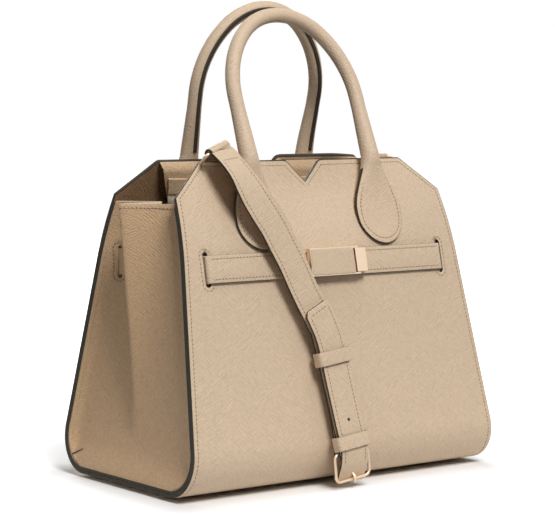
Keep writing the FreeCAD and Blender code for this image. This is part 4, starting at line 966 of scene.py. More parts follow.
def web_row(up, y, sign):
    """Sew a row on a web."""
    up, y = np.broadcast_arrays(np.asarray(up, float), np.asarray(y, float))
    spot = web_spot(up, y)
    outward = face_of(spot, web_spot(up - 1.0, y), web_spot(up, y - 1.0))
    stitch_line((spot + outward * WEB_THREAD_LIFT) * mirrored(sign), outward * mirrored(sign))


def seam_row(column, face, sign):
    """Sew a web to its flange along a grid column, on the side that a direction faces."""
    face = unit(np.array(face))
    seam = smooth_path(web_points(0.0, 22.0, GUSSET_TOP - 3.0)[::4, column], 240) + face * (WEB / 2 + 0.1)
    stitch_line(seam * mirrored(sign), np.broadcast_to(face * mirrored(sign), seam.shape), dots=False)


def crease_shade(name, sign):
    """Dark strip in edge paint along the crease of a small fold that starts at the rim low on the web and runs out to
    nothing: painted shade in the crease.
    """
    up, column = np.linspace(13.0, 18.0, 24), np.linspace(0.8, 9.0, 24)
    fold = grid_spot(up, column)
    outward = face_of(fold, grid_spot(up - 1.0, column), grid_spot(up, column + 0.5)) * mirrored(sign)
    fold = fold * mirrored(sign) + outward * 0.4
    made = strip(name, fold, np.cross(outward, along_of(fold)), outward, 1.5, 0.5, [edge_paint] * 2,
                 scale=np.linspace(1.0, 0.25, 24))
    return on_bag(made, "edge")


slot_line = flat_row(np.stack([BELT_UP + slot_rise, REAR_SLOT[1] - slot_over], -1))
for hand, sign in HANDS:
    web_row(GUSSET_TOP - 3.2, np.linspace(37.0, -37.0, 200), sign)
    for column, face in WEB_SEAMS:
        seam_row(column, face, sign)
    web_row(*slot_line.T, sign)
    crease_shade(hand + "_dart_crease_shade", sign)
print("gusset rows and darts sewn")

# %% [markdown]
# ## Handles and tabs
# Each handle is rolled leather over a cord. Its legs flatten into rounded tabs that are sewn to the panel. One
# surface makes the whole: a closed outline that goes from a thin rounded slab at the tab's bottom to a circle at the
# leg, carried up the tab, round the arch and down the other tab. The outline is a superellipse, whose power sets how
# square it is. At the hinge the surface bends between bag and handle, as leather does.

# %% Handle shapes
HINGE_Y, HINGE_UP = float(wrap_y(TOP_UP)) + 11.0, 250.0
LEG_X, LEG_UP, SIDE_R = 60.0, 50.0, 77.0
TUBE, ROOT, TAPER = 5.8, 7.4, 40.0
SIDE_IN = SIDE_R - LEG_X
CROWN_R = SIDE_R - SIDE_IN / math.cos(math.pi / 4)
CROWN_TOP = LEG_UP + SIDE_IN + CROWN_R
TAB_HALF, TAB_LOW = 21.5, 181.0
TAB_ROUND, TAB_ROWS = TAB_LOW + TAB_HALF, 52
TAB_DEEP, TAB_STAND = 1.7, 1.95
TAB_THICKENS, TAB_ROUNDS, TAB_NARROWS, TAB_LEANS, TAB_PAINT_TOP = 196.0, 205.0, 207.0, 215.0, 241.0
APEX = {-1: 3.0, 1: -19.5}
SET_IN, SET_OUT, SET_REACH = 2.0, 4.0, 38.0


def arch_line(count):
    """Flat arch from left leg to right leg: line, side arc, crown arc, side arc, line."""
    turn = math.pi / 4
    side = np.linspace(0, turn, 30)[:, None]
    crown = np.linspace(turn, math.pi / 2, 30)[1:, None]
    leg = np.linspace(0, LEG_UP, 20, endpoint=False)[:, None]
    right = np.vstack([np.hstack([0 * leg + LEG_X, leg]),
                       np.hstack([SIDE_R * np.cos(side) - SIDE_IN, LEG_UP + SIDE_R * np.sin(side)]),
                       np.hstack([CROWN_R * np.cos(crown), LEG_UP + SIDE_IN + CROWN_R * np.sin(crown)])])
    left = right[:-1] * [-1, 1]
    line = np.vstack([left, right[::-1]])
    return even(np.hstack([line, 0 * line[:, :1]]), count)[:, :2]


def handle_axes(side):
    """Up and outward directions of a handle's plane; the arch's top sets the lean."""
    sine = (HINGE_Y + APEX[side]) / CROWN_TOP
    cosine = math.sqrt(1 - sine * sine)
    return np.array([0.0, -side * sine, cosine]), np.array([0.0, side * cosine, sine])


def leg_set(side, flat):
    """The rear handle's leather has taken a set: its legs start further out and closer together."""
    near = np.exp(-(flat[:, 1:] / SET_REACH) ** 2) * (side > 0)
    return near * np.hstack([-SET_IN * np.sign(flat[:, :1]), SET_OUT + 0 * flat[:, :1], 0 * flat[:, :1]])


def hinge_middle(side):
    """Middle of the line about which a handle tilts."""
    return np.array([0.0, side * HINGE_Y, FOOT + HINGE_UP])


def arch_path(side, count=150):
    """Heights above the hinge, middle line and radius of a handle's arch."""
    flat = arch_line(count)
    middle = hinge_middle(side) + flat[:, :1] * [1.0, 0, 0] + flat[:, 1:] * handle_axes(side)[0] + leg_set(side, flat)
    return flat[:, 1], middle, ROOT + (TUBE - ROOT) * np.minimum(flat[:, 1], TAPER) / TAPER


def handle_stations(side):
    """Centres, across, outward, half sizes and power of the outline all along tab, arch and tab."""
    out = handle_axes(side)[1]
    _, arch, arch_size = arch_path(side)
    bottom = TAB_LOW + TAB_HALF * (1 - np.cos(np.linspace(0, math.pi / 2, 18)))
    up = np.concatenate([bottom, np.linspace(TAB_ROUND, HINGE_UP, 36)[1:-1]])
    grow = np.clip((up - TAB_THICKENS) / (HINGE_UP - TAB_THICKENS), 0, 1)
    wide = np.where(up < TAB_ROUND, np.sqrt(np.maximum(0.0, TAB_HALF ** 2 - (TAB_ROUND - up) ** 2)),
                    ROOT + (TAB_HALF - ROOT) * (1 - ease((up - TAB_NARROWS) / (HINGE_UP + 3.0 - TAB_NARROWS))))
    deep = TAB_DEEP + (ROOT - TAB_DEEP) * grow ** 1.5
    stand_top = HINGE_Y - float(wrap_y(TOP_UP)) + 1.0 + SET_OUT * (side > 0)
    stand = TAB_STAND + (stand_top - TAB_STAND) * grow ** 1.35
    power = 2.0 + 3.0 * (1 - ease((up - TAB_ROUNDS) / 40.0))
    centre = np.stack([SET_IN * (side > 0) * grow - LEG_X, side * (wrap_y(up) + stand), up + FOOT], -1)
    angle = profile(run_of(up))[2]
    lean_out = np.arctan2(out[2], side * out[1])
    angle = angle + (lean_out - angle) * ease((up - TAB_LEANS) / 30.0)
    tab_out = np.stack([0 * up, side * np.cos(angle), np.sin(angle)], -1)
    tab_along = np.stack([0 * up, -side * np.sin(angle), np.cos(angle)], -1)
    centres = np.vstack([centre, arch, (centre * [-1.0, 1.0, 1.0])[::-1]])
    outs = np.vstack([tab_out, np.broadcast_to(out, arch.shape), tab_out[::-1]])
    alongs = np.vstack([tab_along, along_of(arch), -tab_along[::-1]])
    wides, deeps, powers = [np.concatenate([tab, leg, tab[::-1]]) for tab, leg in (
        (wide, arch_size), (deep, arch_size), (power, 0 * arch_size + 2))]
    return centres, np.cross(outs, alongs), outs, np.maximum(wides, 0.02), deeps, powers


def super_ring(angle, wide, deep, power):
    """Superellipse: |across / wide| ^ power + |outward / deep| ^ power = 1."""
    cosine, sine = np.cos(angle)[None, :], np.sin(angle)[None, :]
    exponent = (2.0 / power)[:, None]
    return (np.sign(cosine) * np.abs(cosine) ** exponent * wide[:, None],
            np.sign(sine) * np.abs(sine) ** exponent * deep[:, None])


def bend_on(made, side, body, slot, *nodes):
    """The piece keeps its place baked into the mesh and stands for these CAD nodes."""
    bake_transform(made)
    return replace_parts(made, *nodes)


def handle(name, side, body, *nodes, cols=48):
    """The whole leather handle as one closed surface with painted tab edges; the tabs follow the panel's slack."""
    centres, across, outs, wides, deeps, powers = handle_stations(side)
    angle = np.linspace(0, 2 * math.pi, cols, endpoint=False) + math.pi / cols
    a, b = super_ring(angle, wides, deeps, powers)
    points = centres[:, None] + across[:, None] * a[..., None] + outs[:, None] * b[..., None]
    faces = grid_faces(len(points), cols, ring=True)
    row, column = np.divmod(np.arange(len(faces)), cols)
    low = centres[row, 2] - FOOT < TAB_PAINT_TOP
    narrow = np.abs(np.sin(angle[column] + math.pi / cols)) < 0.36
    for tab in (np.s_[:TAB_ROWS - 1], np.s_[1 - TAB_ROWS:]):
        give = slack(points[tab][..., 0], run_of(points[tab][..., 2] - FOOT))
        points[tab] += outs[tab][:, None] * give[..., None]
    made = face_outwards(piece(name, points, faces, [handle_leather, edge_paint], low & narrow), close=True)
    return bend_on(made, side, body, "leather", *nodes)


for wall, side in WALLS:
    made = handle(wall + "_handle_leather", side, wall + "_handle_body", wall + "_handle", wall + "_handle_core",
                  wall + "_left_tab", wall + "_right_tab")
    print(wall, "handle:", len(made.data.polygons), "faces")


# %% Painted seam and tab stitches of the handles
def handle_seam(name, side, body, node):
    """Raised painted seam on the side of the arch that faces the other handle: a half-round strip."""
    out = handle_axes(side)[1]
    up, middle, size = arch_path(side)
    path = (middle - out * (size[:, None] + 0.2))[up > 3.0]
    outs = np.broadcast_to(-out, path.shape)
    made = strip(name, path, np.cross(outs, along_of(path)), outs, 3.2, 1.9, [edge_paint] * 2)
    return bend_on(made, side, body, "edge", node)


def tab_row(side, sign):
    """Row inside a tab's edge, on its outer face: across is set, outward follows the superellipse."""
    centre, _, out, wide, deep, power = [part[:TAB_ROWS] for part in handle_stations(side)]
    up = centre[:, 2] - FOOT
    bottom, reach = TAB_LOW + SEW_IN, TAB_HALF - SEW_IN
    level = np.concatenate([np.linspace(bottom, bottom + 18, 30), np.linspace(bottom + 18, 243.0, 40)[1:]])
    outline, thick, power = [np.interp(level, up, part) for part in (wide, deep, power)]
    inner = np.where(level < TAB_ROUND, np.sqrt(np.maximum(0, reach ** 2 - (TAB_ROUND - level) ** 2)),
                     outline - SEW_IN)
    bulge = thick * (1 - np.clip(inner / outline, 0, 1) ** power) ** (1 / power)
    lift = read(level, up, out)
    half = read(level, up, centre * mirrored(sign)) + lift * bulge[:, None]
    left, right = [half + edge * inner[:, None] * [1.0, 0, 0] for edge in (-1, 1)]
    left, right = [line + lift * slack(line[:, 0], run_of(level))[:, None] for line in (left, right)]
    stitch_line(np.vstack([left[::-1], right[1:]]), np.vstack([lift[::-1], lift[1:]]))


for wall, side in WALLS:
    handle_seam(wall + "_handle_paint", side, wall + "_handle_body", wall + "_handle_seam")
    for sign in (-1, 1):
        tab_row(side, sign)
print("seams and tab stitches made")

# %% [markdown]
# ## Belt and clasp inlay
# The belt lies flat on the leaning panel, turns through a slot at each side and runs back through the pleats. The
# clasp's tray, pin and catch are the frame's own. The leather pad let into the tray and the end bar, with its rounded
# edges, are made here.

# %% Belt
PANEL_UP = np.array([0.0, math.sin(LEAN), math.cos(LEAN)])
PANEL_OUT = np.array([0.0, -math.cos(LEAN), math.sin(LEAN)])
BELT_ZERO = np.array([0.0, -float(wrap_y(BELT_UP)), FOOT + BELT_UP])
BELT_WIDE, BELT_THICK, BELT_GAP, BELT_TURN, BELT_SEW_IN = 21.5, 2.4, 0.35, 2.6, 3.0
BELT_RUN, BELT_BEND, BELT_INSIDE, SHADED_FROM = 60, 8, 39, -0.03


def belt(name, sign, end_x, node):
    """Half of the belt: straight run, quarter turn into the slot, straight run to the rear seam."""
    middle = BELT_ZERO + PANEL_OUT * (BELT_GAP + BELT_THICK / 2)
    sideways = np.array([sign, 0, 0])
    run = np.linspace(end_x, SLOT_X - BELT_TURN, BELT_RUN)[:, None] * sideways
    angle = np.linspace(0, math.pi / 2, BELT_BEND + 1)[1:, None]
    bend = run[-1] + BELT_TURN * (np.sin(angle) * sideways - (1 - np.cos(angle)) * PANEL_OUT)
    corner = middle + bend[-1]
    rear_y = float(depth_y(BELT_UP + BELT_WIDE / 2, 5.3)) - 0.5
    rear = np.array([sign * (float(half_width(BELT_UP)) - 10.3), rear_y, middle[2]])
    inside = corner + np.linspace(0, 1, BELT_INSIDE + 1)[1:, None] * (rear - corner)
    path = np.vstack([middle + run, middle + bend, inside])
    level = np.concatenate([np.zeros(BELT_RUN + BELT_BEND), np.linspace(0, 1, BELT_INSIDE) ** 0.5])[:, None]
    along = along_of(path)
    upward = square_to(unit(PANEL_UP * (1 - level) + np.array([0, 0, 1.0]) * level), along)
    outward = np.cross(upward, along) * -sign
    made = strip(name, path, upward, outward, BELT_WIDE, BELT_THICK, [strap_leather, edge_paint, gusset_shaded_leather])
    # Faces past this depth, inside the bag, take the darker gusset tone: painted shade on the belt's hidden run.
    for face in made.data.polygons:
        if face.center.y > SHADED_FROM and face.material_index == 0:
            face.material_index = 2
    sew_strip(path, upward, outward, BELT_WIDE / 2 - BELT_SEW_IN, BELT_THICK / 2, np.s_[:BELT_RUN], end=False)
    return on_bag(made, "leather", node)


belt("left_belt_leather", -1, 4.0, "left_belt")
belt("right_belt_leather", 1, 3.0, "right_belt")
print("belt made")

# %% Clasp inlay and end bar
PAD_LEFT, PAD_RIGHT, PAD_HALF, PAD_OUT = -21.9, 20.55, 10.3, 8.5
BAR_LEFT, BAR_RIGHT, BAR_HALF, BAR_OUT = 21.8, 32.2, 9.4, 8.85


def on_belt(x, up, out):
    """Points in the belt's plane: across, up along the panel, out from it."""
    return (BELT_ZERO + np.multiply.outer(x, [1.0, 0, 0]) + np.multiply.outer(up, PANEL_UP)
            + np.multiply.outer(out, PANEL_OUT))


def inlay(name):
    """Cushioned pad: a grid in the belt's plane whose rim dips by high powers of its shares across and up."""
    u, v = np.meshgrid(np.linspace(-1, 1, 61), np.linspace(-1, 1, 31))
    drop = 0.25 * (np.abs(u) ** 24 + np.abs(v) ** 10)
    x = (PAD_LEFT + PAD_RIGHT) / 2 + (PAD_RIGHT - PAD_LEFT) / 2 * u
    made = sheet(name, on_belt(x, PAD_HALF * v, PAD_OUT - drop), [strap_leather, edge_paint])
    return on_body(hide_leather(made, 1.4, 0), "clasp_flap", "leather", "clasp_inlay")


def end_bar(name):
    """Broad flat bar over the hinge: one flat face with thickness behind it and rounded edges."""
    x, up = np.meshgrid([BAR_LEFT, BAR_RIGHT], [-BAR_HALF, BAR_HALF])
    made = sheet(name, on_belt(x, up, BAR_OUT + 0 * x), [rose_gold] * 2)
    made.data.polygons.foreach_set("use_smooth", [False])
    return on_bag(hide_leather(made, 6.0, 0.35), "metal", "clasp_bar")


inlay("clasp_inlay_leather")
end_bar("clasp_end_bar")
print("inlay and end bar made")

# %% [markdown]
# ## Shoulder strap
# The strap hangs from a ring at the top edge, lies over the left tab and the belt, and ends in a buckle low on the
# front. The buckled end comes back over it as a tip with cut corners, held by two keepers, and the other limb returns
# behind it and over the top edge into the bag. The places follow the route of the CAD strap, with smooth curves
# between them.

# %% Strap route
STRAP_WIDE, STRAP_THICK, TIP_THICK, STRAP_SEW_IN = 26.0, 2.4, 2.2, 3.2
TWIST_FROM, TWIST_OVER, NARROW_FROM, NARROW_OVER, TIP_SHOWN = 222.0, 32.0, 215.0, 25.0, (3.4, 126.0)
RING_X = TOP_HALF - 13.0
EDGE_Z, EDGE_Y = FOOT + TOP_UP, -float(wrap_y(TOP_UP))
EYE = np.array([0.0, EDGE_Y + 10.6, EDGE_Z - 0.1])
LOOP = np.array([-RING_X, EDGE_Y - 8.85, EDGE_Z + 11.5])
PIVOT_UP = 26.5
PIVOT = np.array([-6.3, math.tan(LEAN) * PIVOT_UP - BASE_HALF - 9.5, FOOT + PIVOT_UP])
ROUTE_SHARES = np.array([(0.959, 0.981, 8.8), (0.916, 0.931, 9.6), (0.865, 0.862, 8.9), (0.800, 0.755, 7.5),
                         (0.740, 0.642, 6.25), (0.676, 0.548, 5.25), (0.616, 0.460, 4.75), (0.521, 0.341, 4.2),
                         (0.431, 0.222, 4.0), (0.354, 0.153, 4.0)])
route_z = PIVOT[2] + (LOOP[2] - PIVOT[2]) * ROUTE_SHARES[:, 0]
route_x = PIVOT[0] + (LOOP[0] - PIVOT[0]) * ROUTE_SHARES[:, 1]
route_y = -wrap_y(route_z - FOOT) - ROUTE_SHARES[:, 2] * STRAP_THICK
ROUTE = np.stack([route_x, route_y, route_z], -1)
PIVOT = PIVOT - [2.5, 0, 0]
DOWN = unit(PIVOT - ROUTE[-1])
ACROSS = unit(np.array([1.0, 0, 0]) - DOWN * DOWN[0])
OUT = np.cross(DOWN, ACROSS)
LOOP_R, WRAP_R = 4.2, 2.78
HANG = math.radians(21)
HANG_DOWN = DOWN * math.cos(HANG) - OUT * math.sin(HANG)
HANG_OUT = OUT * math.cos(HANG) + DOWN * math.sin(HANG)
LOOP_HANG = LOOP + [-2.0, 0.0, -2.6]
LOOP_ACROSS = unit(np.array([0.886, 0.395, 0.242]))


def buckle_point(across, inward, up, out=OUT, down=DOWN):
    """Point in the buckle's own frame: across, into the bag, up along the strap."""
    return PIVOT + np.multiply.outer(across, ACROSS) - np.multiply.outer(inward, out) - np.multiply.outer(up, down)


def hang_point(across, inward, up):
    """Point below the buckle's pivot, where the end hangs back against the base."""
    return buckle_point(across, inward, up, HANG_OUT, HANG_DOWN)


print("strap from ring %.0f mm up to buckle %.0f mm up" % (LOOP[2], PIVOT[2]))


# %% Visible limb
def strap_limb(name, count=260):
    """Limb from the curl round the ring's bar down to the curl round the buckle's pivot."""
    turn = np.linspace(1.15 * math.pi, 0.0, 12)
    radius = LOOP_R - STRAP_THICK / 2
    rise = square_to(np.array([0, 0, 1.0]), LOOP_ACROSS)
    forward = np.cross(LOOP_ACROSS, rise)
    top = LOOP_HANG + np.outer(radius * np.cos(turn), forward) + np.outer(radius * np.sin(turn), rise)
    turn = np.linspace(0, 1.2 * math.pi, 10)
    radius = WRAP_R - 0.75
    low = buckle_point(0 * turn, -radius * np.cos(turn) * 0.6, -radius * np.sin(turn) - 0.5)
    path = smooth_path(np.vstack([top, ROUTE, low]), count)
    along, across, _ = level_frame(path)
    twist = ease((path[:, 2:] - TWIST_FROM) / TWIST_OVER)
    across = square_to(across * (1 - twist) + LOOP_ACROSS * twist, along)
    outward = np.cross(along, across)
    made = strip(name, path, across, outward, STRAP_WIDE, STRAP_THICK, [strap_leather, edge_paint])
    shown = (path[:, 2] < LOOP[2] + 1) & (path[:, 2] > PIVOT[2] + 6) & (np.arange(count) > 20)
    sew_strip(path, across, outward, STRAP_WIDE / 2 - STRAP_SEW_IN, STRAP_THICK / 2, shown)
    return on_bag(made, "leather", "strap_upper")


print("limb:", len(strap_limb("strap_limb_leather").data.polygons), "faces")

# %% Tip and return limb
TIP_OUT = STRAP_THICK / 2 + 2.1 + TIP_THICK / 2
BACK_IN = STRAP_THICK / 2 + 2.2 + STRAP_THICK / 2
BAR_LOW = -22.0
BEHIND = np.linspace(6.0, 3.2, len(ROUTE))
HANG_Y = EYE[1] + 9.5
OVER_EDGE = [(EDGE_Y - 14.9, -4.0), (EDGE_Y - 6.9, 1.2), (EDGE_Y + 2.1, 3.6), (EYE[1], 4.2), (EYE[1] + 7.5, 1.0),
             (HANG_Y, -8.0), (HANG_Y, -60.0), (HANG_Y, -120.0)]


def strap_return(name):
    """Tip over the limb, down through the buckle, round behind the far bar, up behind the limb and into the bag."""
    _, across, outward = level_frame(np.vstack([LOOP, ROUTE, PIVOT]))
    tip_top = ROUTE[7] + (ROUTE[8] - ROUTE[7]) * 0.54
    tip = np.vstack([tip_top + outward[8] * TIP_OUT, ROUTE[8] + outward[9] * TIP_OUT, ROUTE[9] + OUT * TIP_OUT,
                     buckle_point(np.zeros(3), np.full(3, -TIP_OUT), [50.0, 20.0, 2.0])])
    dive = hang_point(np.zeros(3), [-TIP_OUT * 0.95, -TIP_OUT * 0.7, -0.6], [-5.0, -12.0, BAR_LOW + 3])
    angle = np.linspace(0.1, math.pi - 0.1, 5)
    radius = BACK_IN / 2
    turn_back = hang_point(np.zeros(5), radius - radius * np.cos(angle), BAR_LOW - radius * np.sin(angle))
    behind = np.vstack([hang_point([1.0], [BACK_IN], [BAR_LOW + 8]), buckle_point([3.0], [BACK_IN], [20.0]),
                        (ROUTE - outward[1:-1] * BACK_IN + across[1:-1] * BEHIND[:, None])[2:][::-1]])
    over = np.array([(13.0 - RING_X, y, EDGE_Z + up) for y, up in OVER_EDGE])
    path = smooth_path(np.vstack([tip, dive, turn_back, behind, over]), 520)
    _, across, outward = level_frame(path)
    length = lengths(path)
    scale = np.minimum(1.0, 0.76 + 0.24 * length / 3.5) * (1 - 0.22 * ease((path[:, 2] - NARROW_FROM) / NARROW_OVER))
    made = strip(name, path, across, outward, STRAP_WIDE, TIP_THICK, [strap_leather, edge_paint], scale=scale)
    shown = (length > TIP_SHOWN[0]) & (length < TIP_SHOWN[1])
    sew_strip(path, across, outward, STRAP_WIDE / 2 * scale - STRAP_SEW_IN, TIP_THICK / 2, shown)
    print("tip and return:", round(length[-1]), "mm long")
    return on_bag(made, "leather", "strap_lower")


strap_return("strap_tip_leather")

# %% Strap hole as painted shade, and keepers
HOLE_R, HOLE_SIDES = 1.35, 24
KEEPER_WIDE, KEEPER_WALL = 11.0, 1.4


def strap_hole_shade(name, up):
    """Punched hole as painted shade: a small dark dish just proud of the tip's face, as three rings and a middle
    point.
    """
    angle = np.linspace(0, 2 * math.pi, HOLE_SIDES, endpoint=False)
    ring = HOLE_R * np.array([1.0, 0.8, 0.3])[:, None]
    across = np.concatenate([[0.0], (ring * np.cos(angle)).ravel()])
    rise = up + np.concatenate([[0.0], (ring * np.sin(angle)).ravel()])
    proud = np.concatenate([[0.02], np.repeat([0.04, 0.02, 0.02], HOLE_SIDES)])
    points = buckle_point(across, -(TIP_OUT + TIP_THICK / 2 + proud), rise)
    last = 1 + 2 * HOLE_SIDES + np.arange(HOLE_SIDES)
    fan = np.stack([last, np.roll(last, -1), 0 * last], -1)
    return on_bag(piece(name, points, [*grid_faces(3, HOLE_SIDES, ring=True) + 1, *fan], [edge_paint]), "edge")


def keeper(name, up, node, body):
    """Leather loop: a strip on edge carried round a rounded oblong."""
    half = STRAP_WIDE / 2 + 0.95
    front, rear = TIP_OUT + TIP_THICK / 2 + 0.7, -(STRAP_THICK / 2 + 0.3)
    ring = oblong((0.16, 0.5), 8)
    x = ring[:, 0] * (half + KEEPER_WALL / 2)
    y = (front + rear) / 2 + ring[:, 1] * ((front - rear) / 2 + KEEPER_WALL / 2)
    path = buckle_point(x, -y, 0 * x + up)
    along = unit(np.roll(path, -1, 0) - np.roll(path, 1, 0))
    upward = np.broadcast_to(-DOWN, path.shape)
    made = strip(name, path, upward, np.cross(along, upward), KEEPER_WIDE, KEEPER_WALL, [strap_leather, edge_paint],
                 closed=True)
    return on_body(made, body, "leather", node)


strap_hole_shade("strap_hole_shade", 24.0)
keeper("free_keeper_leather", 73.0, "free_keeper", "keeper_loop")
keeper("fixed_keeper_leather", 7.2, "fixed_keeper", "bag")
print("keepers made")

# %% [markdown]
# ## Wire hardware
# Buckle and rings are bent wire, so each is a circle or a flattened circle carried round a rounded oblong. The feet,
# their washers and the clasp's tray, pin and catch stay as the frame has them and only take the plating.

# %% Buckle and rings
WIRE_SIDES = 16


def wire_loop(name, corners, bend, wide, tall, normal, node, body):
    """Flattened circle carried round a four-cornered loop with round bends."""
    corners = np.asarray(corners, float)
    before, after = np.roll(corners, 1, 0), np.roll(corners, -1, 0)
    into, away = unit(before - corners), unit(after - corners)
    share = np.linspace(0, math.pi / 2, 10)
    curve = (corners[:, None] + into[:, None] * (bend * (1 - np.sin(share)))[None, :, None]
             + away[:, None] * (bend * (1 - np.cos(share)))[None, :, None])
    path = even(np.vstack([*curve, curve[0, :1]]), 161)[:-1]
    along = unit(np.roll(path, -1, 0) - np.roll(path, 1, 0))
    normal = np.broadcast_to(unit(np.asarray(normal, float)), path.shape)
    side = np.cross(along, normal)
    angle = np.linspace(0, 2 * math.pi, WIRE_SIDES, endpoint=False)
    points = (path[:, None] + side[:, None] * (wide * np.cos(angle))[None, :, None]
              + normal[:, None] * (tall * np.sin(angle))[None, :, None])
    points = np.concatenate([points, points[:1]])
    made = face_outwards(piece(name, points, grid_faces(len(points), WIRE_SIDES, ring=True), [rose_gold]))
    return on_body(made, body, "metal", node)


BAR_Y = -(1.5 + TIP_THICK / 2 + 0.3)
BUCKLE_HALF, RING_WIRE = 16.6, 1.3
RING_HALF = 29.0 / 2 + RING_WIRE
RING_TAB_LOW, RING_TAB_TOP, CURL_R = 216.0, 236.0, 2.2
LEFT_DROP = np.array([6.0, -4.0, -5.5])
RING_REACH = float(np.linalg.norm(LOOP - (EYE - [RING_X, 0, 0])))

buckle_corners = hang_point(BUCKLE_HALF * np.array([-1, 1, 1, -1]), [0.0, 0.0, BAR_Y, BAR_Y],
                            [0.0, 0.0, BAR_LOW, BAR_LOW])
buckle_normal = np.cross(buckle_corners[1] - buckle_corners[0], buckle_corners[2] - buckle_corners[1])
wire_loop("buckle_wire", buckle_corners, 4.2, 1.15, 1.1, buckle_normal, "buckle_frame", "bag")
prong = smooth_path(hang_point(np.zeros(4), [BAR_Y + 1.2, BAR_Y - 1.4, BAR_Y - 2.6, BAR_Y - 1.9],
                               [BAR_LOW + 5, BAR_LOW + 3, BAR_LOW, BAR_LOW - 2.2]), 24)
_, prong_across, prong_out = level_frame(prong, ACROSS)
tongue = strip("buckle_prong", prong, prong_across, prong_out, 2.4, 1.4, [rose_gold] * 2)
on_body(tongue, "tongue_prong", "metal", "buckle_tongue")


def ring_tab(name, middle, drop, node):
    """Leather tab from the facing up and round the ring's lower bar: one strip with a curl."""
    up = np.linspace(RING_TAB_LOW, RING_TAB_TOP, 8)
    low = np.stack([0 * up, -depth_y(up, 5.4), up + FOOT], -1)
    angle = np.linspace(-0.62 * math.pi, 1.2 * math.pi, 16) + math.pi
    curl = EYE + CURL_R * np.stack([0 * angle, np.cos(-angle), np.sin(-angle)], -1)
    path = smooth_path(np.vstack([low + drop * [1, 0, 0], curl + drop]), 90) + middle
    _, across, outward = level_frame(path)
    made = strip(name, path, across, outward, 18.0, 1.3, [facing_leather, edge_paint])
    return on_bag(made, "leather", node)


level_step = np.array([RING_HALF, 0, 0])
for hand, middle, drop, far, far_step, body in (
        ("left", -RING_X, LEFT_DROP, LOOP_HANG, LOOP_ACROSS * RING_HALF, "bag"),
        ("right", RING_X, 0 * LEFT_DROP, EYE + [RING_X, 0, -RING_REACH], level_step, "spare_ring")):
    near = EYE + [middle, 0, 0] + drop
    corners = [near - level_step, near + level_step, far + far_step, far - far_step]
    normal = np.cross(level_step, far - near)
    wire_loop(hand + "_ring_wire", corners, 3.0, RING_WIRE, RING_WIRE, normal, hand + "_ring", body)
    ring_tab(hand + "_ring_tab_leather", [middle, 0, 0], drop, hand + "_ring_tab")
print("buckle, rings and tabs made")

# %% Finishes of the CAD nodes that stay
finishes = dict.fromkeys(("base_feet", "foot_washers", "clasp_frame", "clasp_pin", "clasp_catch"), rose_gold)
finishes["base_board"] = fibre_board
for node, finish in finishes.items():
    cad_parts[node].data.materials.clear()
    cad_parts[node].data.materials.append(finish)
print("metal plated, board grey")

# %% Sew all rows
# The dots are painted shade of the needle holes.
for key, shape, finish, name in (("bar", stitch_bar(), thread, "stitches"),
                                 ("dot", hole_shade_dot(), needle_hole_shade, "needle_hole_shade_dots")):
    rows = zip(*[row[1:] for row in stitch_rows if row[0] == key])
    points, faces = repeat(*shape, *[np.vstack(part) for part in rows])
    mesh = bpy.data.meshes.new(name)
    mesh.from_pydata((points * MM).tolist(), [], faces.tolist())
    mesh.materials.append(finish)
    mesh.polygons.foreach_set("use_smooth", np.ones(len(mesh.polygons), bool))
    sewn = bpy.data.objects.new(name, mesh)
    scene.collection.objects.link(sewn)
    on_bag(sewn, "leather")
    print(name, len(mesh.polygons), "faces")

# %% [markdown]
# ## Stage and light
# The photograph has a white ground with a faint shadow under the bag and a broad soft light from the upper right, so
# the strap's shadow falls to its left. A large area lamp is the key and weaker ones fill from the side, behind and
# above. The world is white where the camera or a gloss sees it and dim as a light, so that shadows stay deep. The
# floor glows white to the camera further out and keeps the shadow close to the bag; other rays find it darker with
# distance, so that it throws little light back.

# %% Stage
WORLD_LIGHT = 0.045
WHITE, PAPER, DARK = (1, 1, 1, 1), (0.93, 0.93, 0.93, 1.0), (0.1, 0.1, 0.1, 1.0)
BAG_HALVES = (0.146, 0.084, 0.0)
GLOW_STEPS = ((0.05, 0.4), (0.5, 0.6))
FLOOR_HALF = 6000

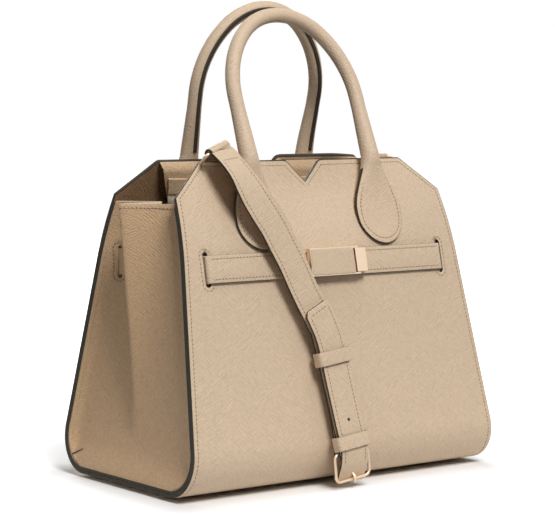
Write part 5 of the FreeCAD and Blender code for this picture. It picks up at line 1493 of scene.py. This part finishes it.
paper = Finish("white_floor")
camera_ray = paper.node("ShaderNodeLightPath")
outside = paper.node("ShaderNodeVectorMath", {"operation": "ABSOLUTE"}, {0: paper.spot()})
for operation, other in (("SUBTRACT", BAG_HALVES), ("MAXIMUM", (0.0, 0.0, 0.0))):
    outside = paper.node("ShaderNodeVectorMath", {"operation": operation}, {0: outside, 1: other})
far = paper.node("ShaderNodeVectorMath", {"operation": "LENGTH"}, {0: outside}, out=1)
away = 0.0
for reach, part in GLOW_STEPS:
    away = paper.step(far, 0.0, reach, part) + away
dim = paper.step(far, 0.05, 0.4, 0.85) * (1.0 - camera_ray)
plain = paper.node("ShaderNodeBsdfDiffuse", {}, {"Color": paper.mix(dim, PAPER, DARK)})
glow = paper.node("ShaderNodeEmission", {}, {"Color": WHITE, "Strength": camera_ray * away})
floor_material = paper.done(paper.node("ShaderNodeAddShader", {}, {0: plain, 1: glow}))
x, y = np.meshgrid(np.linspace(-FLOOR_HALF, FLOOR_HALF, 9), np.linspace(-FLOOR_HALF, FLOOR_HALF, 9))
sheet("floor", np.stack([x, y, 0 * x], -1), [floor_material])

world = bpy.data.worlds.new("studio")
scene.world = world
world.use_nodes = True
sky = Finish("sky", world.node_tree)
seen = sky.node("ShaderNodeLightPath")
for kind in ("Is Glossy Ray", "Is Transmission Ray"):
    seen = seen + sky.node("ShaderNodeLightPath", out=kind)
strength = seen.math("MINIMUM", 1.0) * (1.0 - WORLD_LIGHT) + WORLD_LIGHT
sky.done(sky.node("ShaderNodeBackground", {}, {"Color": WHITE, "Strength": strength}), "ShaderNodeOutputWorld")
print("floor and world made")

# %% Lamps
LAMPS = (("key_lamp", (-0.33, -1.78, 2.16), 0.15, 0.9, 60.0), ("fill_lamp", (-1.9, 0.4, 0.9), 0.15, 1.0, 1.5),
         ("back_lamp", (0.7, 2.2, 1.3), 0.15, 1.0, 30.0), ("top_lamp", (0.2, -0.5, 2.4), 0.1, 1.0, 9.0))
for name, spot, aim_up, wide, power in LAMPS:
    data = bpy.data.lights.new(name, "AREA")
    data.size, data.energy = wide, power
    lamp = bpy.data.objects.new(name, data)
    lamp.location = spot
    lamp.rotation_euler = (Vector((0.0, 0.0, aim_up)) - Vector(spot)).to_track_quat("-Z", "Y").to_euler()
    scene.collection.objects.link(lamp)
print("lamps:", len(LAMPS))
